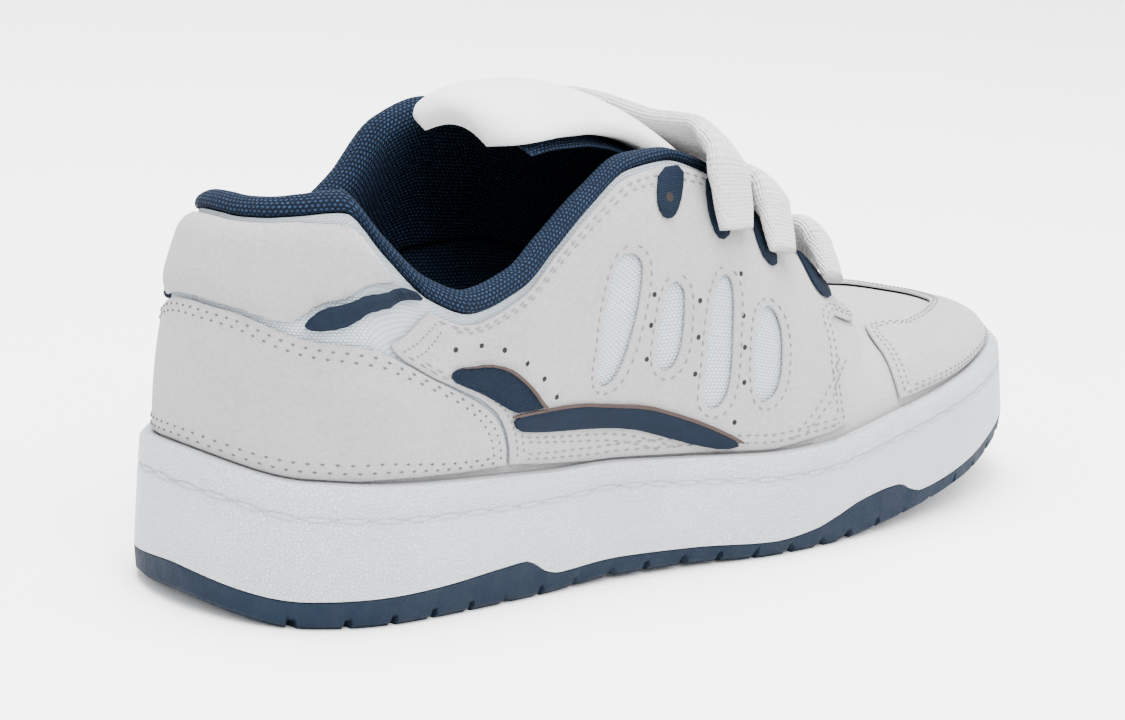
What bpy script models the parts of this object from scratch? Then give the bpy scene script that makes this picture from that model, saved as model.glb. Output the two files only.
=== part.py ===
"""Skateboarding shoe for the right foot, built round the shape of its last."""
import math

import bmesh
import bpy
import numpy as np
from mathutils import Vector
from mathutils.geometry import delaunay_2d_cdt

MM = 0.001
GAP = 0.3 * MM

# Driving sizes of the sole
LENGTH = 302 * MM
BALL_WIDTH = 110 * MM
HEEL_WIDTH = 90 * MM
RIM_HEIGHT = 38 * MM
RIM_WALL = 4.6 * MM
TOE_SPRING = 19 * MM
SPRING_POWER = 1.25
SPRING_START = 0.62
ARCH_LIFT = 1.2 * MM
HEEL_BEVEL = 3.4 * MM
HEEL_BEVEL_RUN = 14 * MM
GROOVE_DEPTH = 0.9 * MM
GROOVE_WIDTH = 2.2 * MM
PLATE = 6.0 * MM

# Driving sizes of the upper
INSTEP_HEIGHT = 110 * MM
UPPER_WALL = 2.2 * MM
THROAT_END = 0.75
OVERLAY_LOW = 0.7 * MM
OVERLAY_TOP = 1.7 * MM
TRIM_LOW = 2.1 * MM
TRIM_TOP = 2.9 * MM
HEEL_PUFF = 1.8 * MM
LACE_WIDTH = 18 * MM
LACE_THICK = 7 * MM
TONGUE_THICK = 10 * MM
TONGUE_DROP = 9 * MM
TONGUE_DROP_AT = 30 * MM
LINING = 1.6 * MM

# Tread of the outsole
TREAD_PITCH = 12 * MM
TREAD_WIDTH = 1.8 * MM
TREAD_DEPTH = 2.0 * MM
INSOLE_THICK = 4 * MM

# Where the origin stands: below the middle of the whole shoe
ORIGIN = (150.47 * MM, -0.97 * MM, 0.0)

# Sole outline: round is the share of the way from heel to toe, along a share of LENGTH,
# outer and inner shares of half the local width
SOLE_OUTLINE = (
    # round, along, outer, inner
    (0.000, 0.000, 0.000, 0.000),
    (0.050, 0.012, 0.410, 0.400),
    (0.100, 0.045, 0.733, 0.700),
    (0.150, 0.100, 0.931, 0.900),
    (0.210, 0.170, 1.000, 0.967),
    (0.290, 0.260, 1.015, 0.967),
    (0.380, 0.360, 1.000, 0.880),
    (0.460, 0.460, 0.970, 0.810),
    (0.550, 0.560, 0.998, 0.836),
    (0.620, 0.650, 1.000, 0.918),
    (0.690, 0.730, 0.980, 0.964),
    (0.750, 0.800, 0.927, 0.964),
    (0.820, 0.870, 0.793, 0.890),
    (0.870, 0.930, 0.609, 0.736),
    (0.925, 0.972, 0.345, 0.527),
    (0.965, 0.993, 0.110, 0.310),
    (1.000, 1.000, -0.110, 0.110),
)

# Heights of the cup above the ground line, as shares of RIM_HEIGHT
CUP_HEIGHTS = (
    # round, rim outer, rim inner, groove drop, floor
    (0.00, 0.968, 0.968, 0.188, 0.42),
    (0.05, 0.972, 0.972, 0.182, 0.42),
    (0.10, 0.980, 0.975, 0.200, 0.42),
    (0.15, 0.955, 0.955, 0.195, 0.42),
    (0.21, 0.922, 0.922, 0.187, 0.41),
    (0.29, 0.877, 0.877, 0.169, 0.40),
    (0.38, 0.820, 0.830, 0.130, 0.38),
    (0.46, 0.770, 0.785, 0.140, 0.36),
    (0.55, 0.760, 0.770, 0.145, 0.34),
    (0.62, 0.780, 0.765, 0.135, 0.32),
    (0.69, 0.800, 0.755, 0.130, 0.31),
    (0.75, 0.790, 0.730, 0.125, 0.30),
    (0.82, 0.745, 0.690, 0.120, 0.29),
    (0.90, 0.670, 0.630, 0.120, 0.28),
    (1.00, 0.585, 0.585, 0.120, 0.28),
)

# Upper edge of the outsole on the side wall, as shares of RIM_HEIGHT
OUTSOLE_EDGE = (
    # round, height
    (0.000, 0.205),
    (0.050, 0.190),
    (0.100, 0.195),
    (0.150, 0.203),
    (0.210, 0.230),
    (0.260, 0.270),
    (0.286, 0.284),
    (0.296, 0.250),
    (0.308, 0.185),
    (0.325, 0.150),
    (0.380, 0.148),
    (0.460, 0.130),
    (0.530, 0.122),
    (0.570, 0.160),
    (0.595, 0.230),
    (0.620, 0.280),
    (0.645, 0.292),
    (0.668, 0.275),
    (0.682, 0.200),
    (0.695, 0.150),
    (0.720, 0.140),
    (0.800, 0.150),
    (1.000, 0.150),
)

# Top line of the upper and the ribs that rise to it from the rim of the cup
# along is a share of LENGTH, half a share of half of BALL_WIDTH, outer and inner heights of INSTEP_HEIGHT
# lean is the first slope in degrees off vertical, out positive, rise the last slope in degrees
# low and high pull are shares of the rib's chord
TOP_LINE = (
    # round, along, half, outer, inner, lean, low_pull, rise, high_pull
    (0.00, 0.040, 0.000, 0.890, 0.890, 3, 0.38, 68, 0.25),
    (0.05, 0.045, 0.200, 0.900, 0.882, 3, 0.38, 68, 0.25),
    (0.10, 0.060, 0.345, 0.914, 0.860, 4, 0.38, 70, 0.25),
    (0.15, 0.088, 0.473, 0.927, 0.828, 5, 0.38, 74, 0.25),
    (0.18, 0.118, 0.564, 0.830, 0.790, 5, 0.38, 78, 0.25),
    (0.21, 0.157, 0.636, 0.727, 0.760, 5, 0.38, 82, 0.25),
    (0.24, 0.196, 0.673, 0.688, 0.750, 4, 0.38, 84, 0.25),
    (0.29, 0.249, 0.673, 0.727, 0.830, 3, 0.38, 80, 0.25),
    (0.33, 0.288, 0.645, 0.800, 0.960, 2, 0.38, 75, 0.27),
    (0.38, 0.338, 0.600, 0.895, 1.010, 0, 0.36, 68, 0.28),
    (0.42, 0.387, 0.555, 0.964, 1.010, -2, 0.35, 62, 0.30),
    (0.46, 0.434, 0.527, 0.973, 0.985, -4, 0.35, 56, 0.32),
    (0.50, 0.480, 0.509, 0.941, 0.941, -6, 0.35, 50, 0.33),
    (0.53, 0.521, 0.491, 0.886, 0.886, -7, 0.34, 45, 0.34),
    (0.57, 0.566, 0.455, 0.790, 0.790, -8, 0.34, 36, 0.35),
    (0.62, 0.632, 0.400, 0.685, 0.685, -8, 0.33, 27, 0.36),
    (0.66, 0.692, 0.270, 0.580, 0.580, -6, 0.32, 18, 0.38),
    (0.70, 0.748, 0.035, 0.505, 0.505, -4, 0.30, 10, 0.42),
    (0.73, 0.788, 0.010, 0.468, 0.468, -4, 0.27, 4, 0.46),
    (0.75, 0.805, 0.000, 0.450, 0.450, -5, 0.25, 0, 0.50),
    (0.82, 0.851, 0.000, 0.443, 0.443, -12, 0.25, 0, 0.52),
    (0.87, 0.881, 0.000, 0.436, 0.436, -16, 0.26, 0, 0.52),
    (0.925, 0.897, 0.000, 0.430, 0.430, -18, 0.27, 0, 0.50),
    (1.00, 0.911, 0.000, 0.424, 0.424, -18, 0.28, 0, 0.50),
)

# Sideways curve of the last, along as a share of LENGTH, side as a share of BALL_WIDTH
SWING = (
    # along, side
    (0.00, 0.000),
    (0.30, -0.013),
    (0.50, -0.020),
    (0.65, -0.010),
    (0.75, 0.030),
    (0.81, 0.060),
    (0.90, 0.095),
    (1.00, 0.100),
)


def fair(knots, values, at):
    """Smooth curve through the knots that doesn't overshoot them."""
    knots = np.asarray(knots, float)
    values = np.asarray(values, float)
    step = np.diff(knots)
    slope = np.diff(values) / step
    tangent = np.zeros(len(knots))
    tangent[0], tangent[-1] = slope[0], slope[-1]
    same = slope[1:] * slope[:-1] > 0
    weight_a = 2 * step[1:] + step[:-1]
    weight_b = step[1:] + 2 * step[:-1]
    inner = np.zeros(len(knots) - 2)
    inner[same] = (weight_a + weight_b)[same] / (
        weight_a[same] / slope[:-1][same] + weight_b[same] / slope[1:][same])
    tangent[1:-1] = inner
    at = np.clip(np.asarray(at, float), knots[0], knots[-1])
    index = np.clip(np.searchsorted(knots, at, side="right") - 1, 0, len(step) - 1)
    width = step[index]
    s = (at - knots[index]) / width
    return (values[index] * (1 + 2 * s) * (1 - s) ** 2 + tangent[index] * width * s * (1 - s) ** 2
            + values[index + 1] * s * s * (3 - 2 * s) + tangent[index + 1] * width * s * s * (s - 1))


def fold(around):
    """Turn a place on the loop, 0 to 2 from the heel and back, into round and side."""
    turn = np.mod(around, 2.0)
    side = np.where(turn <= 1.0, -1.0, 1.0)
    return 1.0 - np.abs(1.0 - turn), side


def column(table, index, share, odd=False):
    """One column of a table by round, mirrored past the heel and the toe."""
    knots = [row[0] for row in table]
    values = [row[index] for row in table]
    sign = -1 if odd else 1
    before = [(-k, sign * v) for k, v in zip(knots[3:0:-1], values[3:0:-1])]
    after = [(2 - k, sign * v) for k, v in zip(knots[-2:-5:-1], values[-2:-5:-1])]
    rows = before + list(zip(knots, values)) + after
    return fair([r[0] for r in rows], [r[1] for r in rows], share)


def smooth(low, high, at):
    s = np.clip((at - low) / (high - low), 0, 1)
    return s * s * (3 - 2 * s)


def loop_spline(knots, points, period, at):
    """Periodic cubic spline through points, with its slope."""
    count = len(points)
    step = np.diff(np.append(knots, knots[0] + period))
    system = np.zeros((count, count))
    right = np.zeros((count, 2))
    for i in range(count):
        before, after = step[i - 1], step[i]
        system[i, i - 1] += before
        system[i, i] += 2 * (before + after)
        system[i, (i + 1) % count] += after
        right[i] = 6 * ((points[(i + 1) % count] - points[i]) / after - (points[i] - points[i - 1]) / before)
    bend = np.linalg.solve(system, right)
    at = np.mod(np.asarray(at, float) - knots[0], period) + knots[0]
    index = np.clip(np.searchsorted(knots, at, side="right") - 1, 0, count - 1)
    following = (index + 1) % count
    h = step[index][:, None]
    b = (at[:, None] - knots[index][:, None]) / h
    a = 1 - b
    place = (a * points[index] + b * points[following]
             + ((a ** 3 - a) * bend[index] + (b ** 3 - b) * bend[following]) * h * h / 6)
    slope = ((points[following] - points[index]) / h
             + ((1 - 3 * a * a) * bend[index] + (3 * b * b - 1) * bend[following]) * h / 6)
    return place, slope


def outline_loop():
    """Knots and points of the sole outline, up the outer side and back down the inner."""
    knots = []
    points = []
    for side, rows in ((-1, SOLE_OUTLINE), (1, SOLE_OUTLINE[-2:0:-1])):
        for share, along, outer, inner in rows:
            wide = smooth(0.30, 0.55, along)
            half = (HEEL_WIDTH * (1 - wide) + BALL_WIDTH * wide) / 2
            out = -outer if side < 0 else inner
            knots.append(share if side < 0 else 2 - share)
            points.append((along * LENGTH, out * half))
    return np.array(knots), np.array(points)


OUTLINE_KNOTS, OUTLINE_POINTS = outline_loop()


def sole_edge(around, inset=0.0):
    """Plan points of the sole's edge and its outward directions."""
    around = np.atleast_1d(np.asarray(around, float))
    place, slope = loop_spline(OUTLINE_KNOTS, OUTLINE_POINTS, 2.0, around)
    out = np.stack([slope[:, 1], -slope[:, 0]], axis=1)
    out /= np.linalg.norm(out, axis=1)[:, None]
    return place - out * np.reshape(inset, (-1, 1)), out


def ground(x):
    """Height of the outsole's underside: arch lift and toe spring."""
    share = x / LENGTH
    spring = np.clip((share - SPRING_START) / (1 - SPRING_START), 0, None) ** SPRING_POWER
    bevel = HEEL_BEVEL * np.clip(1 - x / HEEL_BEVEL_RUN, 0, 1) ** 2
    arch = smooth(0.28, 0.36, share) * (1 - smooth(0.44, 0.54, share))
    return TOE_SPRING * spring + ARCH_LIFT * arch + bevel


def tilt(x):
    """Forward slope of the ground line where the toe springs up, which leans the wall back."""
    run = np.clip((x / LENGTH - SPRING_START) / (1 - SPRING_START), 0, None)
    return TOE_SPRING * SPRING_POWER * run ** (SPRING_POWER - 1) / (LENGTH * (1 - SPRING_START))


def sole_point(around, inset, height):
    """Point of the sole: inset from its edge in plan, at a height over the ground line."""
    edge, out = sole_edge(around)
    place = edge - out * np.reshape(inset, (-1, 1))
    lift = np.broadcast_to(height, len(place))
    return np.column_stack([place[:, 0] - tilt(edge[:, 0]) * lift, place[:, 1], ground(edge[:, 0]) + lift])


def cup(around, index):
    """A height of the cup above the ground line; index 1 is the rim, on its own side of the shoe."""
    share, side = fold(around)
    if index != 1:
        return RIM_HEIGHT * column(CUP_HEIGHTS, index, share)
    outer = column(CUP_HEIGHTS, 1, share)
    inner = column(CUP_HEIGHTS, 2, share)
    return RIM_HEIGHT * np.where(side < 0, outer, inner)


def swing(x):
    return BALL_WIDTH * fair([r[0] for r in SWING], [r[1] for r in SWING], x / LENGTH)


def rib_parts(around):
    """Four control points of the rib at each place round the shoe, and its outward direction."""
    around = np.atleast_1d(np.asarray(around, float))
    share, side = fold(around)
    out = sole_edge(around)[1]
    start = sole_point(around, RIM_WALL + GAP, cup(around, 1))
    along, half, outer, inner, lean, low_pull, rise, high_pull = [
        column(TOP_LINE, i, share, odd=(i == 2)) for i in range(1, 9)]
    top_x = along * LENGTH
    height = np.where(side < 0, outer, inner)
    top = np.column_stack([top_x, swing(top_x) + side * half * BALL_WIDTH / 2, height * INSTEP_HEIGHT])
    chord = np.linalg.norm(top - start, axis=1)[:, None]
    lean = np.radians(lean)[:, None]
    rise = np.radians(rise)[:, None]
    out3 = np.column_stack([out, np.zeros(len(out))])
    up = np.array([0.0, 0.0, 1.0])
    first = np.sin(lean) * out3 + np.cos(lean) * up
    near = np.clip(share, THROAT_END, 0.96)
    ahead = column(TOP_LINE, 3, near + 0.02) - column(TOP_LINE, 3, near - 0.02)
    run = column(TOP_LINE, 1, near + 0.02) - column(TOP_LINE, 1, near - 0.02)
    ridge = ahead * INSTEP_HEIGHT / (run * LENGTH) * smooth(THROAT_END - 0.03, THROAT_END, share)
    last = np.cos(rise) * -out3 + np.sin(rise) * up
    last[:, 2] += ridge * -out3[:, 0]
    last /= np.linalg.norm(last, axis=1)[:, None]
    return start, start + first * chord * low_pull[:, None], top - last * chord * high_pull[:, None], top, out3


def last_point(around, up_share):
    """Outer surface of the upper: up_share 0 at the rim, 1 at the top line, below 0 inside the cup."""
    around = np.atleast_1d(np.asarray(around, float))
    v = np.broadcast_to(np.asarray(up_share, float), around.shape)
    a, b, c, d, _ = rib_parts(around)
    s = np.clip(v, 0, 1)[:, None]
    place = a * (1 - s) ** 3 + 3 * b * s * (1 - s) ** 2 + 3 * c * s * s * (1 - s) + d * s ** 3
    below = sole_point(around, RIM_WALL + GAP, cup(around, 4) + GAP) - a
    return place + below * np.clip(-v, 0, 1)[:, None]


def last_normal(around, up_share):
    around = np.atleast_1d(np.asarray(around, float))
    v = np.broadcast_to(np.asarray(up_share, float), around.shape)
    da = 0.003
    low = np.clip(v - 0.012, -1, 0.975)
    ahead = last_point(around + da, np.minimum(v, 0.970)) - last_point(around - da, np.minimum(v, 0.970))
    rise = last_point(around, low + 0.024) - last_point(around, low)
    normal = np.cross(ahead, rise)
    normal /= np.linalg.norm(normal, axis=1)[:, None]
    return normal


def on_upper(around, up_share, lift=0.0):
    return last_point(around, up_share) + last_normal(around, up_share) * np.reshape(lift, (-1, 1))


# Sample places, as round shares from heel to toe
TURNS = (0.0, 0.025, 0.05, 0.075, 0.10, 0.125, 0.15, 0.18, 0.21, 0.24, 0.265, 0.296, 0.325, 0.36, 0.385, 0.41,
         0.435, 0.46, 0.48, 0.50, 0.52, 0.54, 0.57, 0.595, 0.62, 0.645, 0.668, 0.695, 0.72, 0.75, 0.78, 0.81,
         0.84, 0.87, 0.90, 0.92, 0.94, 0.96, 0.98, 1.0)
SOLE_TURNS = (0.0, 0.025, 0.05, 0.075, 0.10, 0.125, 0.15, 0.18, 0.21, 0.24, 0.265, 0.286, 0.296, 0.308, 0.325,
              0.36, 0.385, 0.41, 0.435, 0.46, 0.48, 0.50, 0.52, 0.54, 0.57, 0.595, 0.62, 0.645, 0.668, 0.682, 0.695, 0.72, 0.75, 0.78,
              0.81, 0.84, 0.87, 0.90, 0.92, 0.94, 0.96, 0.98, 1.0)
OUTER_ROWS = (-1.0, 0.0, 0.10, 0.22, 0.35, 0.48, 0.60, 0.71, 0.81, 0.91, 1.0)
INNER_ROWS = (-1.0, 0.0, 0.20, 0.40, 0.60, 0.80, 1.0)

# Tongue along its middle line: along of LENGTH, height of INSTEP_HEIGHT, half of BALL_WIDTH / 2,
# thick of TONGUE_THICK
TONGUE = (
    # along, height, half, thick
    (0.280, 1.060, 0.400, 0.45),
    (0.292, 1.085, 0.430, 0.70),
    (0.330, 1.100, 0.420, 0.80),
    (0.364, 1.095, 0.400, 0.85),
    (0.400, 1.075, 0.375, 0.85),
    (0.440, 1.035, 0.355, 0.85),
    (0.497, 0.950, 0.360, 0.80),
    (0.545, 0.860, 0.395, 0.75),
    (0.590, 0.765, 0.385, 0.65),
    (0.635, 0.678, 0.325, 0.55),
    (0.680, 0.588, 0.240, 0.42),
    (0.715, 0.500, 0.190, 0.34),
    (0.745, 0.448, 0.175, 0.30),
    (0.781, 0.426, 0.170, 0.28),
    (0.828, 0.405, 0.160, 0.24),
)

# Collar padding, seen across its roll: run beyond the top line, lift off the upper's surface
COLLAR_ROLL = (
    # run mm, lift mm
    (-38.0, -3.6),
    (-20.0, -3.1),
    (-2.0, -3.0),
    (0.5, -2.8),
    (0.5, 1.0),
    (3.0, 1.6),
    (5.6, -0.8),
    (5.4, -4.5),
    (2.0, -7.6),
    (-6.0, -8.6),
    (-16.0, -7.8),
    (-28.0, -5.6),
)
COLLAR_END = 0.54

# Outlines of the overlays on the outer side, as places round the shoe and up the upper
HEEL_PANEL_EDGE = (
    # around, up
    (0.192, 0.970), (0.168, 0.765), (0.150, 0.668), (0.136, 0.640), (0.116, 0.628), (0.100, 0.578),
    (0.088, 0.553), (0.062, 0.567), (0.040, 0.585), (0.014, 0.590),
)
PIPING_EDGE = (
    (0.196, 0.970), (0.172, 0.745), (0.154, 0.648), (0.137, 0.620), (0.118, 0.608), (0.101, 0.552),
    (0.104, 0.528), (0.118, 0.522), (0.142, 0.545), (0.168, 0.645), (0.190, 0.845), (0.205, 0.970),
)
COUNTER_EDGE = (
    (0.268, 0.010), (0.266, 0.180), (0.257, 0.310), (0.246, 0.385), (0.234, 0.445), (0.218, 0.485),
    (0.204, 0.500), (0.178, 0.480), (0.156, 0.455), (0.138, 0.470), (0.114, 0.480), (0.088, 0.505),
    (0.062, 0.540), (0.040, 0.560), (0.014, 0.565),
)
QUARTER_EDGE = (
    (0.272, 0.010), (0.270, 0.180), (0.261, 0.320), (0.250, 0.400), (0.238, 0.460), (0.221, 0.500),
    (0.204, 0.515), (0.177, 0.495), (0.168, 0.520), (0.176, 0.560), (0.190, 0.670), (0.213, 0.975),
    (0.690, 0.975), (0.686, 0.860), (0.684, 0.720), (0.676, 0.640), (0.660, 0.610), (0.616, 0.600),
    (0.618, 0.450), (0.612, 0.300), (0.612, 0.170), (0.616, 0.010),
)
TOE_CAP_EDGE = (
    (0.685, 0.010), (0.681, 0.150), (0.681, 0.290), (0.682, 0.480), (0.692, 0.580), (0.712, 0.600),
    (0.745, 0.590), (0.800, 0.600), (0.870, 0.640), (0.940, 0.680),
)
WINDOWS = (
    ((0.402, 0.73), (0.416, 0.68), (0.412, 0.59), (0.400, 0.45), (0.388, 0.34), (0.378, 0.29), (0.366, 0.28),
     (0.361, 0.34), (0.370, 0.51), (0.384, 0.65), (0.392, 0.72)),
    ((0.442, 0.59), (0.451, 0.56), (0.448, 0.48), (0.442, 0.37), (0.434, 0.30), (0.422, 0.28), (0.416, 0.33),
     (0.424, 0.46), (0.432, 0.55)),
    ((0.496, 0.62), (0.503, 0.58), (0.494, 0.41), (0.486, 0.24), (0.478, 0.17), (0.466, 0.14), (0.456, 0.17),
     (0.461, 0.27), (0.470, 0.44), (0.482, 0.56)),
    ((0.532, 0.54), (0.543, 0.53), (0.548, 0.47), (0.544, 0.34), (0.538, 0.24), (0.528, 0.19), (0.516, 0.17),
     (0.510, 0.21), (0.512, 0.32), (0.520, 0.47)),
)
STRIPE_EDGE = (
    (0.270, 0.300), (0.300, 0.292), (0.340, 0.250), (0.372, 0.205), (0.404, 0.175), (0.438, 0.125),
    (0.462, 0.085), (0.494, 0.030), (0.474, 0.014), (0.448, 0.035), (0.414, 0.080), (0.392, 0.112),
    (0.344, 0.150), (0.294, 0.200), (0.275, 0.225),
)
PATCH_EDGE = (
    (0.215, 0.530), (0.219, 0.595), (0.230, 0.640), (0.250, 0.648), (0.268, 0.590), (0.282, 0.505),
    (0.292, 0.425), (0.300, 0.345), (0.306, 0.308), (0.284, 0.318), (0.272, 0.328), (0.258, 0.395),
    (0.246, 0.455), (0.234, 0.500),
)
LOOPS = (
    ((0.446, 0.970), (0.436, 0.870), (0.438, 0.810), (0.445, 0.790), (0.454, 0.810), (0.464, 0.870), (0.474, 0.970)),
    ((0.500, 0.970), (0.490, 0.860), (0.489, 0.760), (0.496, 0.720), (0.508, 0.760), (0.514, 0.860), (0.520, 0.970)),
    ((0.548, 0.970), (0.538, 0.860), (0.536, 0.740), (0.546, 0.695), (0.560, 0.740), (0.566, 0.860), (0.572, 0.970)),
    ((0.618, 0.970), (0.608, 0.860), (0.605, 0.710), (0.616, 0.660), (0.632, 0.710), (0.640, 0.860), (0.646, 0.970)),
)

# Lace bars: the place of the slot round the shoe, and the middle of the bar over the tongue
LACE_BARS = (
    # slot, along of LENGTH, lift over the tongue mm, width of LACE_WIDTH
    (0.504, 0.535, 2.6, 1.15),
    (0.554, 0.618, 2.8, 1.00),
    (0.625, 0.705, 3.4, 0.82),
)


def around_loop(turns):
    """All places round the shoe for the sampled shares: up the outer side, back down the inner."""
    turns = list(turns)
    return np.array(turns + [2 - t for t in turns[-2:0:-1]])


def bridge(faces, low, high, count):
    """Quads between two rings that start at the vertex numbers low and high."""
    for i in range(count):
        j = (i + 1) % count
        faces.append((low + i, low + j, high + j, high + i))


def ladder(faces, start, count):
    """Close a ring with rungs from each side to the other."""
    half = count // 2
    faces.append((start, start + 1, start + count - 1))
    for i in range(1, half - 1):
        a, b = start + i, start + i + 1
        c, d = start + count - i - 1, start + count - i
        faces.append((a, b, c))
        faces.append((a, c, d))
    faces.append((start + half - 1, start + half, start + half + 1))


def loft(rings):
    """Closed solid through rings of equal count, its ends closed with ladders."""
    count = len(rings[0])
    faces = []
    for k in range(len(rings) - 1):
        bridge(faces, k * count, (k + 1) * count, count)
    ladder(faces, 0, count)
    ladder(faces, (len(rings) - 1) * count, count)
    return np.vstack(rings), faces


def outsole_wall(around):
    share = fold(around)[0]
    return RIM_HEIGHT * fair([r[0] for r in OUTSOLE_EDGE], [r[1] for r in OUTSOLE_EDGE], share)


def tread_turns():
    """Round shares at the corners of each tread groove, with the groove depth there."""
    shares = np.linspace(0, 1, 801)
    along = sole_edge(shares)[0][:, 0]
    turns = []
    for k in range(1, int(LENGTH / TREAD_PITCH)):
        for offset, deep in ((-0.62, 0.0), (-0.38, 1.0), (0.38, 1.0), (0.62, 0.0)):
            place = k * TREAD_PITCH + offset * TREAD_WIDTH
            turns.append((float(np.interp(place, along, shares)), deep * TREAD_DEPTH))
    return turns


def outsole_solid():
    grooves = tread_turns()
    fine = sorted(set(SOLE_TURNS) | set(t for t, _ in grooves))
    kept = [fine[0]]
    for t in fine[1:]:
        if t - kept[-1] > 0.0012 or t in SOLE_TURNS:
            if t in SOLE_TURNS and t - kept[-1] <= 0.0012 and kept[-1] not in SOLE_TURNS:
                kept.pop()
            kept.append(t)
    dense = around_loop(kept)
    base = around_loop(SOLE_TURNS)
    deep = np.interp(fold(dense)[0], [g[0] for g in grooves], [g[1] for g in grooves])
    rings = [
        sole_point(dense, 2.6 * MM, deep),
        sole_point(dense, 0.7 * MM, 1.7 * MM + 0.8 * deep),
        sole_point(base, 0.0, outsole_wall(base)),
        sole_point(base, 7 * MM, PLATE),
    ]
    n, m = len(dense), len(base)
    faces = []
    ladder(faces, 0, n)
    bridge(faces, 0, n, n)
    where = [int(np.argmin(np.abs(dense - b))) for b in base]
    top = 2 * n
    for i in range(m):
        j = (i + 1) % m
        first, last = where[i], where[j] if j else n
        middle = (first + last) // 2
        for k in range(first, last):
            faces.append((n + k, n + (k + 1) % n, top + (i if k < middle else j)))
        faces.append((top + i, n + middle % n, top + j))
    bridge(faces, top, top + m, m)
    ladder(faces, top + m, m)
    return np.vstack(rings), faces


def midsole_rings(around):
    rim = cup(around, 1)
    drop = RIM_HEIGHT * column(CUP_HEIGHTS, 3, fold(around)[0])
    floor = cup(around, 4)
    return [
        sole_point(around, 7 * MM, PLATE + GAP),
        sole_point(around, 0.0, outsole_wall(around) + GAP),
        sole_point(around, 0.0, rim - drop - GROOVE_WIDTH),
        sole_point(around, GROOVE_DEPTH, rim - drop - GROOVE_WIDTH / 2),
        sole_point(around, 0.0, rim - drop),
        sole_point(around, 0.2 * MM, rim - 1.2 * MM),
        sole_point(around, 1.2 * MM, rim),
        sole_point(around, RIM_WALL - 0.6 * MM, rim),
        sole_point(around, RIM_WALL, rim - 0.6 * MM),
        sole_point(around, RIM_WALL, floor),
    ]


def insole_rings(around):
    floor = cup(around, 4) + GAP
    edge = RIM_WALL + UPPER_WALL + 3 * GAP
    return [
        sole_point(around, edge + 0.5 * MM, floor),
        sole_point(around, edge, floor + 0.8 * MM),
        sole_point(around, edge, floor + INSOLE_THICK - 0.8 * MM),
        sole_point(around, edge + 0.8 * MM, floor + INSOLE_THICK),
        sole_point(around, edge + 12 * MM, floor + INSOLE_THICK - 0.5 * MM),
    ]


def upper_solid(turns, outer_rows, inner_rows):
    """The hollow upper, open at the collar, down the throat and underneath."""
    around = around_loop(turns)
    count = len(around)
    half = count // 2
    closed = fold(around)[0] >= THROAT_END - 1e-9
    rings = [on_upper(around, v) for v in outer_rows]
    inside = [on_upper(around, v, -UPPER_WALL) for v in inner_rows]
    for ring in (rings[-1], inside[-1]):
        for i in range(1, half):
            if closed[i]:
                ring[i] = ring[count - i] = (ring[i] + ring[count - i]) / 2
    faces = []
    outer_count, inner_count = len(rings), len(inside)
    for k in range(outer_count - 1):
        bridge(faces, k * count, (k + 1) * count, count)
    start = outer_count * count
    for k in range(inner_count - 1):
        bridge(faces, start + k * count, start + (k + 1) * count, count)
    bridge(faces, 0, start, count)
    rim, under = (outer_count - 1) * count, start + (inner_count - 1) * count
    for i in range(count):
        j = (i + 1) % count
        if not (closed[i] and closed[j]):
            faces.append((rim + i, rim + j, under + j, under + i))
    return np.vstack(rings + inside), faces


def tongue_sections(stations, drop, thick_of, side_gap, points):
    """Rounded sections down the tongue, lowered by drop below its middle line."""
    rings = []
    for along in stations:
        x = along * LENGTH
        height, half, thick = [fair([r[0] for r in TONGUE], [r[i] for r in TONGUE], along) for i in (1, 2, 3)]
        ahead = [float(fair([r[0] for r in TONGUE], [r[1] for r in TONGUE], along + d)) for d in (-0.01, 0.01)]
        slope = math.atan2((ahead[1] - ahead[0]) * INSTEP_HEIGHT, 0.02 * LENGTH)
        normal = np.array([-math.sin(slope), 0.0, math.cos(slope)])
        half = half * BALL_WIDTH / 2 - side_gap
        full = thick * TONGUE_THICK
        body = thick_of if thick_of else full
        ring = []
        for k in range(points):
            turn = math.pi - 2 * math.pi * k / points
            y = half * math.cos(turn)
            rise = math.sin(turn)
            rise = math.copysign(abs(rise) ** 0.6, rise)
            lift = rise * body / 2 - drop - (full / 2 + body / 2 if thick_of else 0)
            z = height * INSTEP_HEIGHT - TONGUE_DROP * (y / TONGUE_DROP_AT) ** 2
            ring.append(np.array([x, float(swing(x)) + y, z]) + normal * lift)
        rings.append(np.array(ring))
    return rings


def rib_walk(around, steps=48):
    """Shares up the rib and the length of rib left from each of them to the top line."""
    shares = np.linspace(0, 1, steps + 1)
    points = last_point(np.full(steps + 1, around), shares)
    length = np.append(0, np.cumsum(np.linalg.norm(np.diff(points, axis=0), axis=1)))
    return shares, length - length[-1]


def roll_section(around, thin):
    """One section of the collar padding."""
    shares, runs = rib_walk(around)
    top = on_upper(around, 1.0)[0]
    rise = top - on_upper(around, 0.97)[0]
    rise /= np.linalg.norm(rise)
    ring = []
    for run, lift in COLLAR_ROLL:
        if lift < -3.1:
            lift = -3.1 + (lift + 3.1) * thin
        if run <= 0:
            ring.append(on_upper(around, float(np.interp(run * MM, runs, shares)), lift * MM)[0])
        else:
            ring.append(top + rise * run * MM * (0.5 + 0.5 * thin) + last_normal(around, 1.0)[0] * lift * MM)
    return np.array(ring)


def collar_rings(stations):
    rings = []
    for around in stations:
        thin = 1 - 0.6 * float(smooth(0.34, 0.50, abs(around)))
        rings.append(roll_section(around, thin))
    return rings


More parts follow.
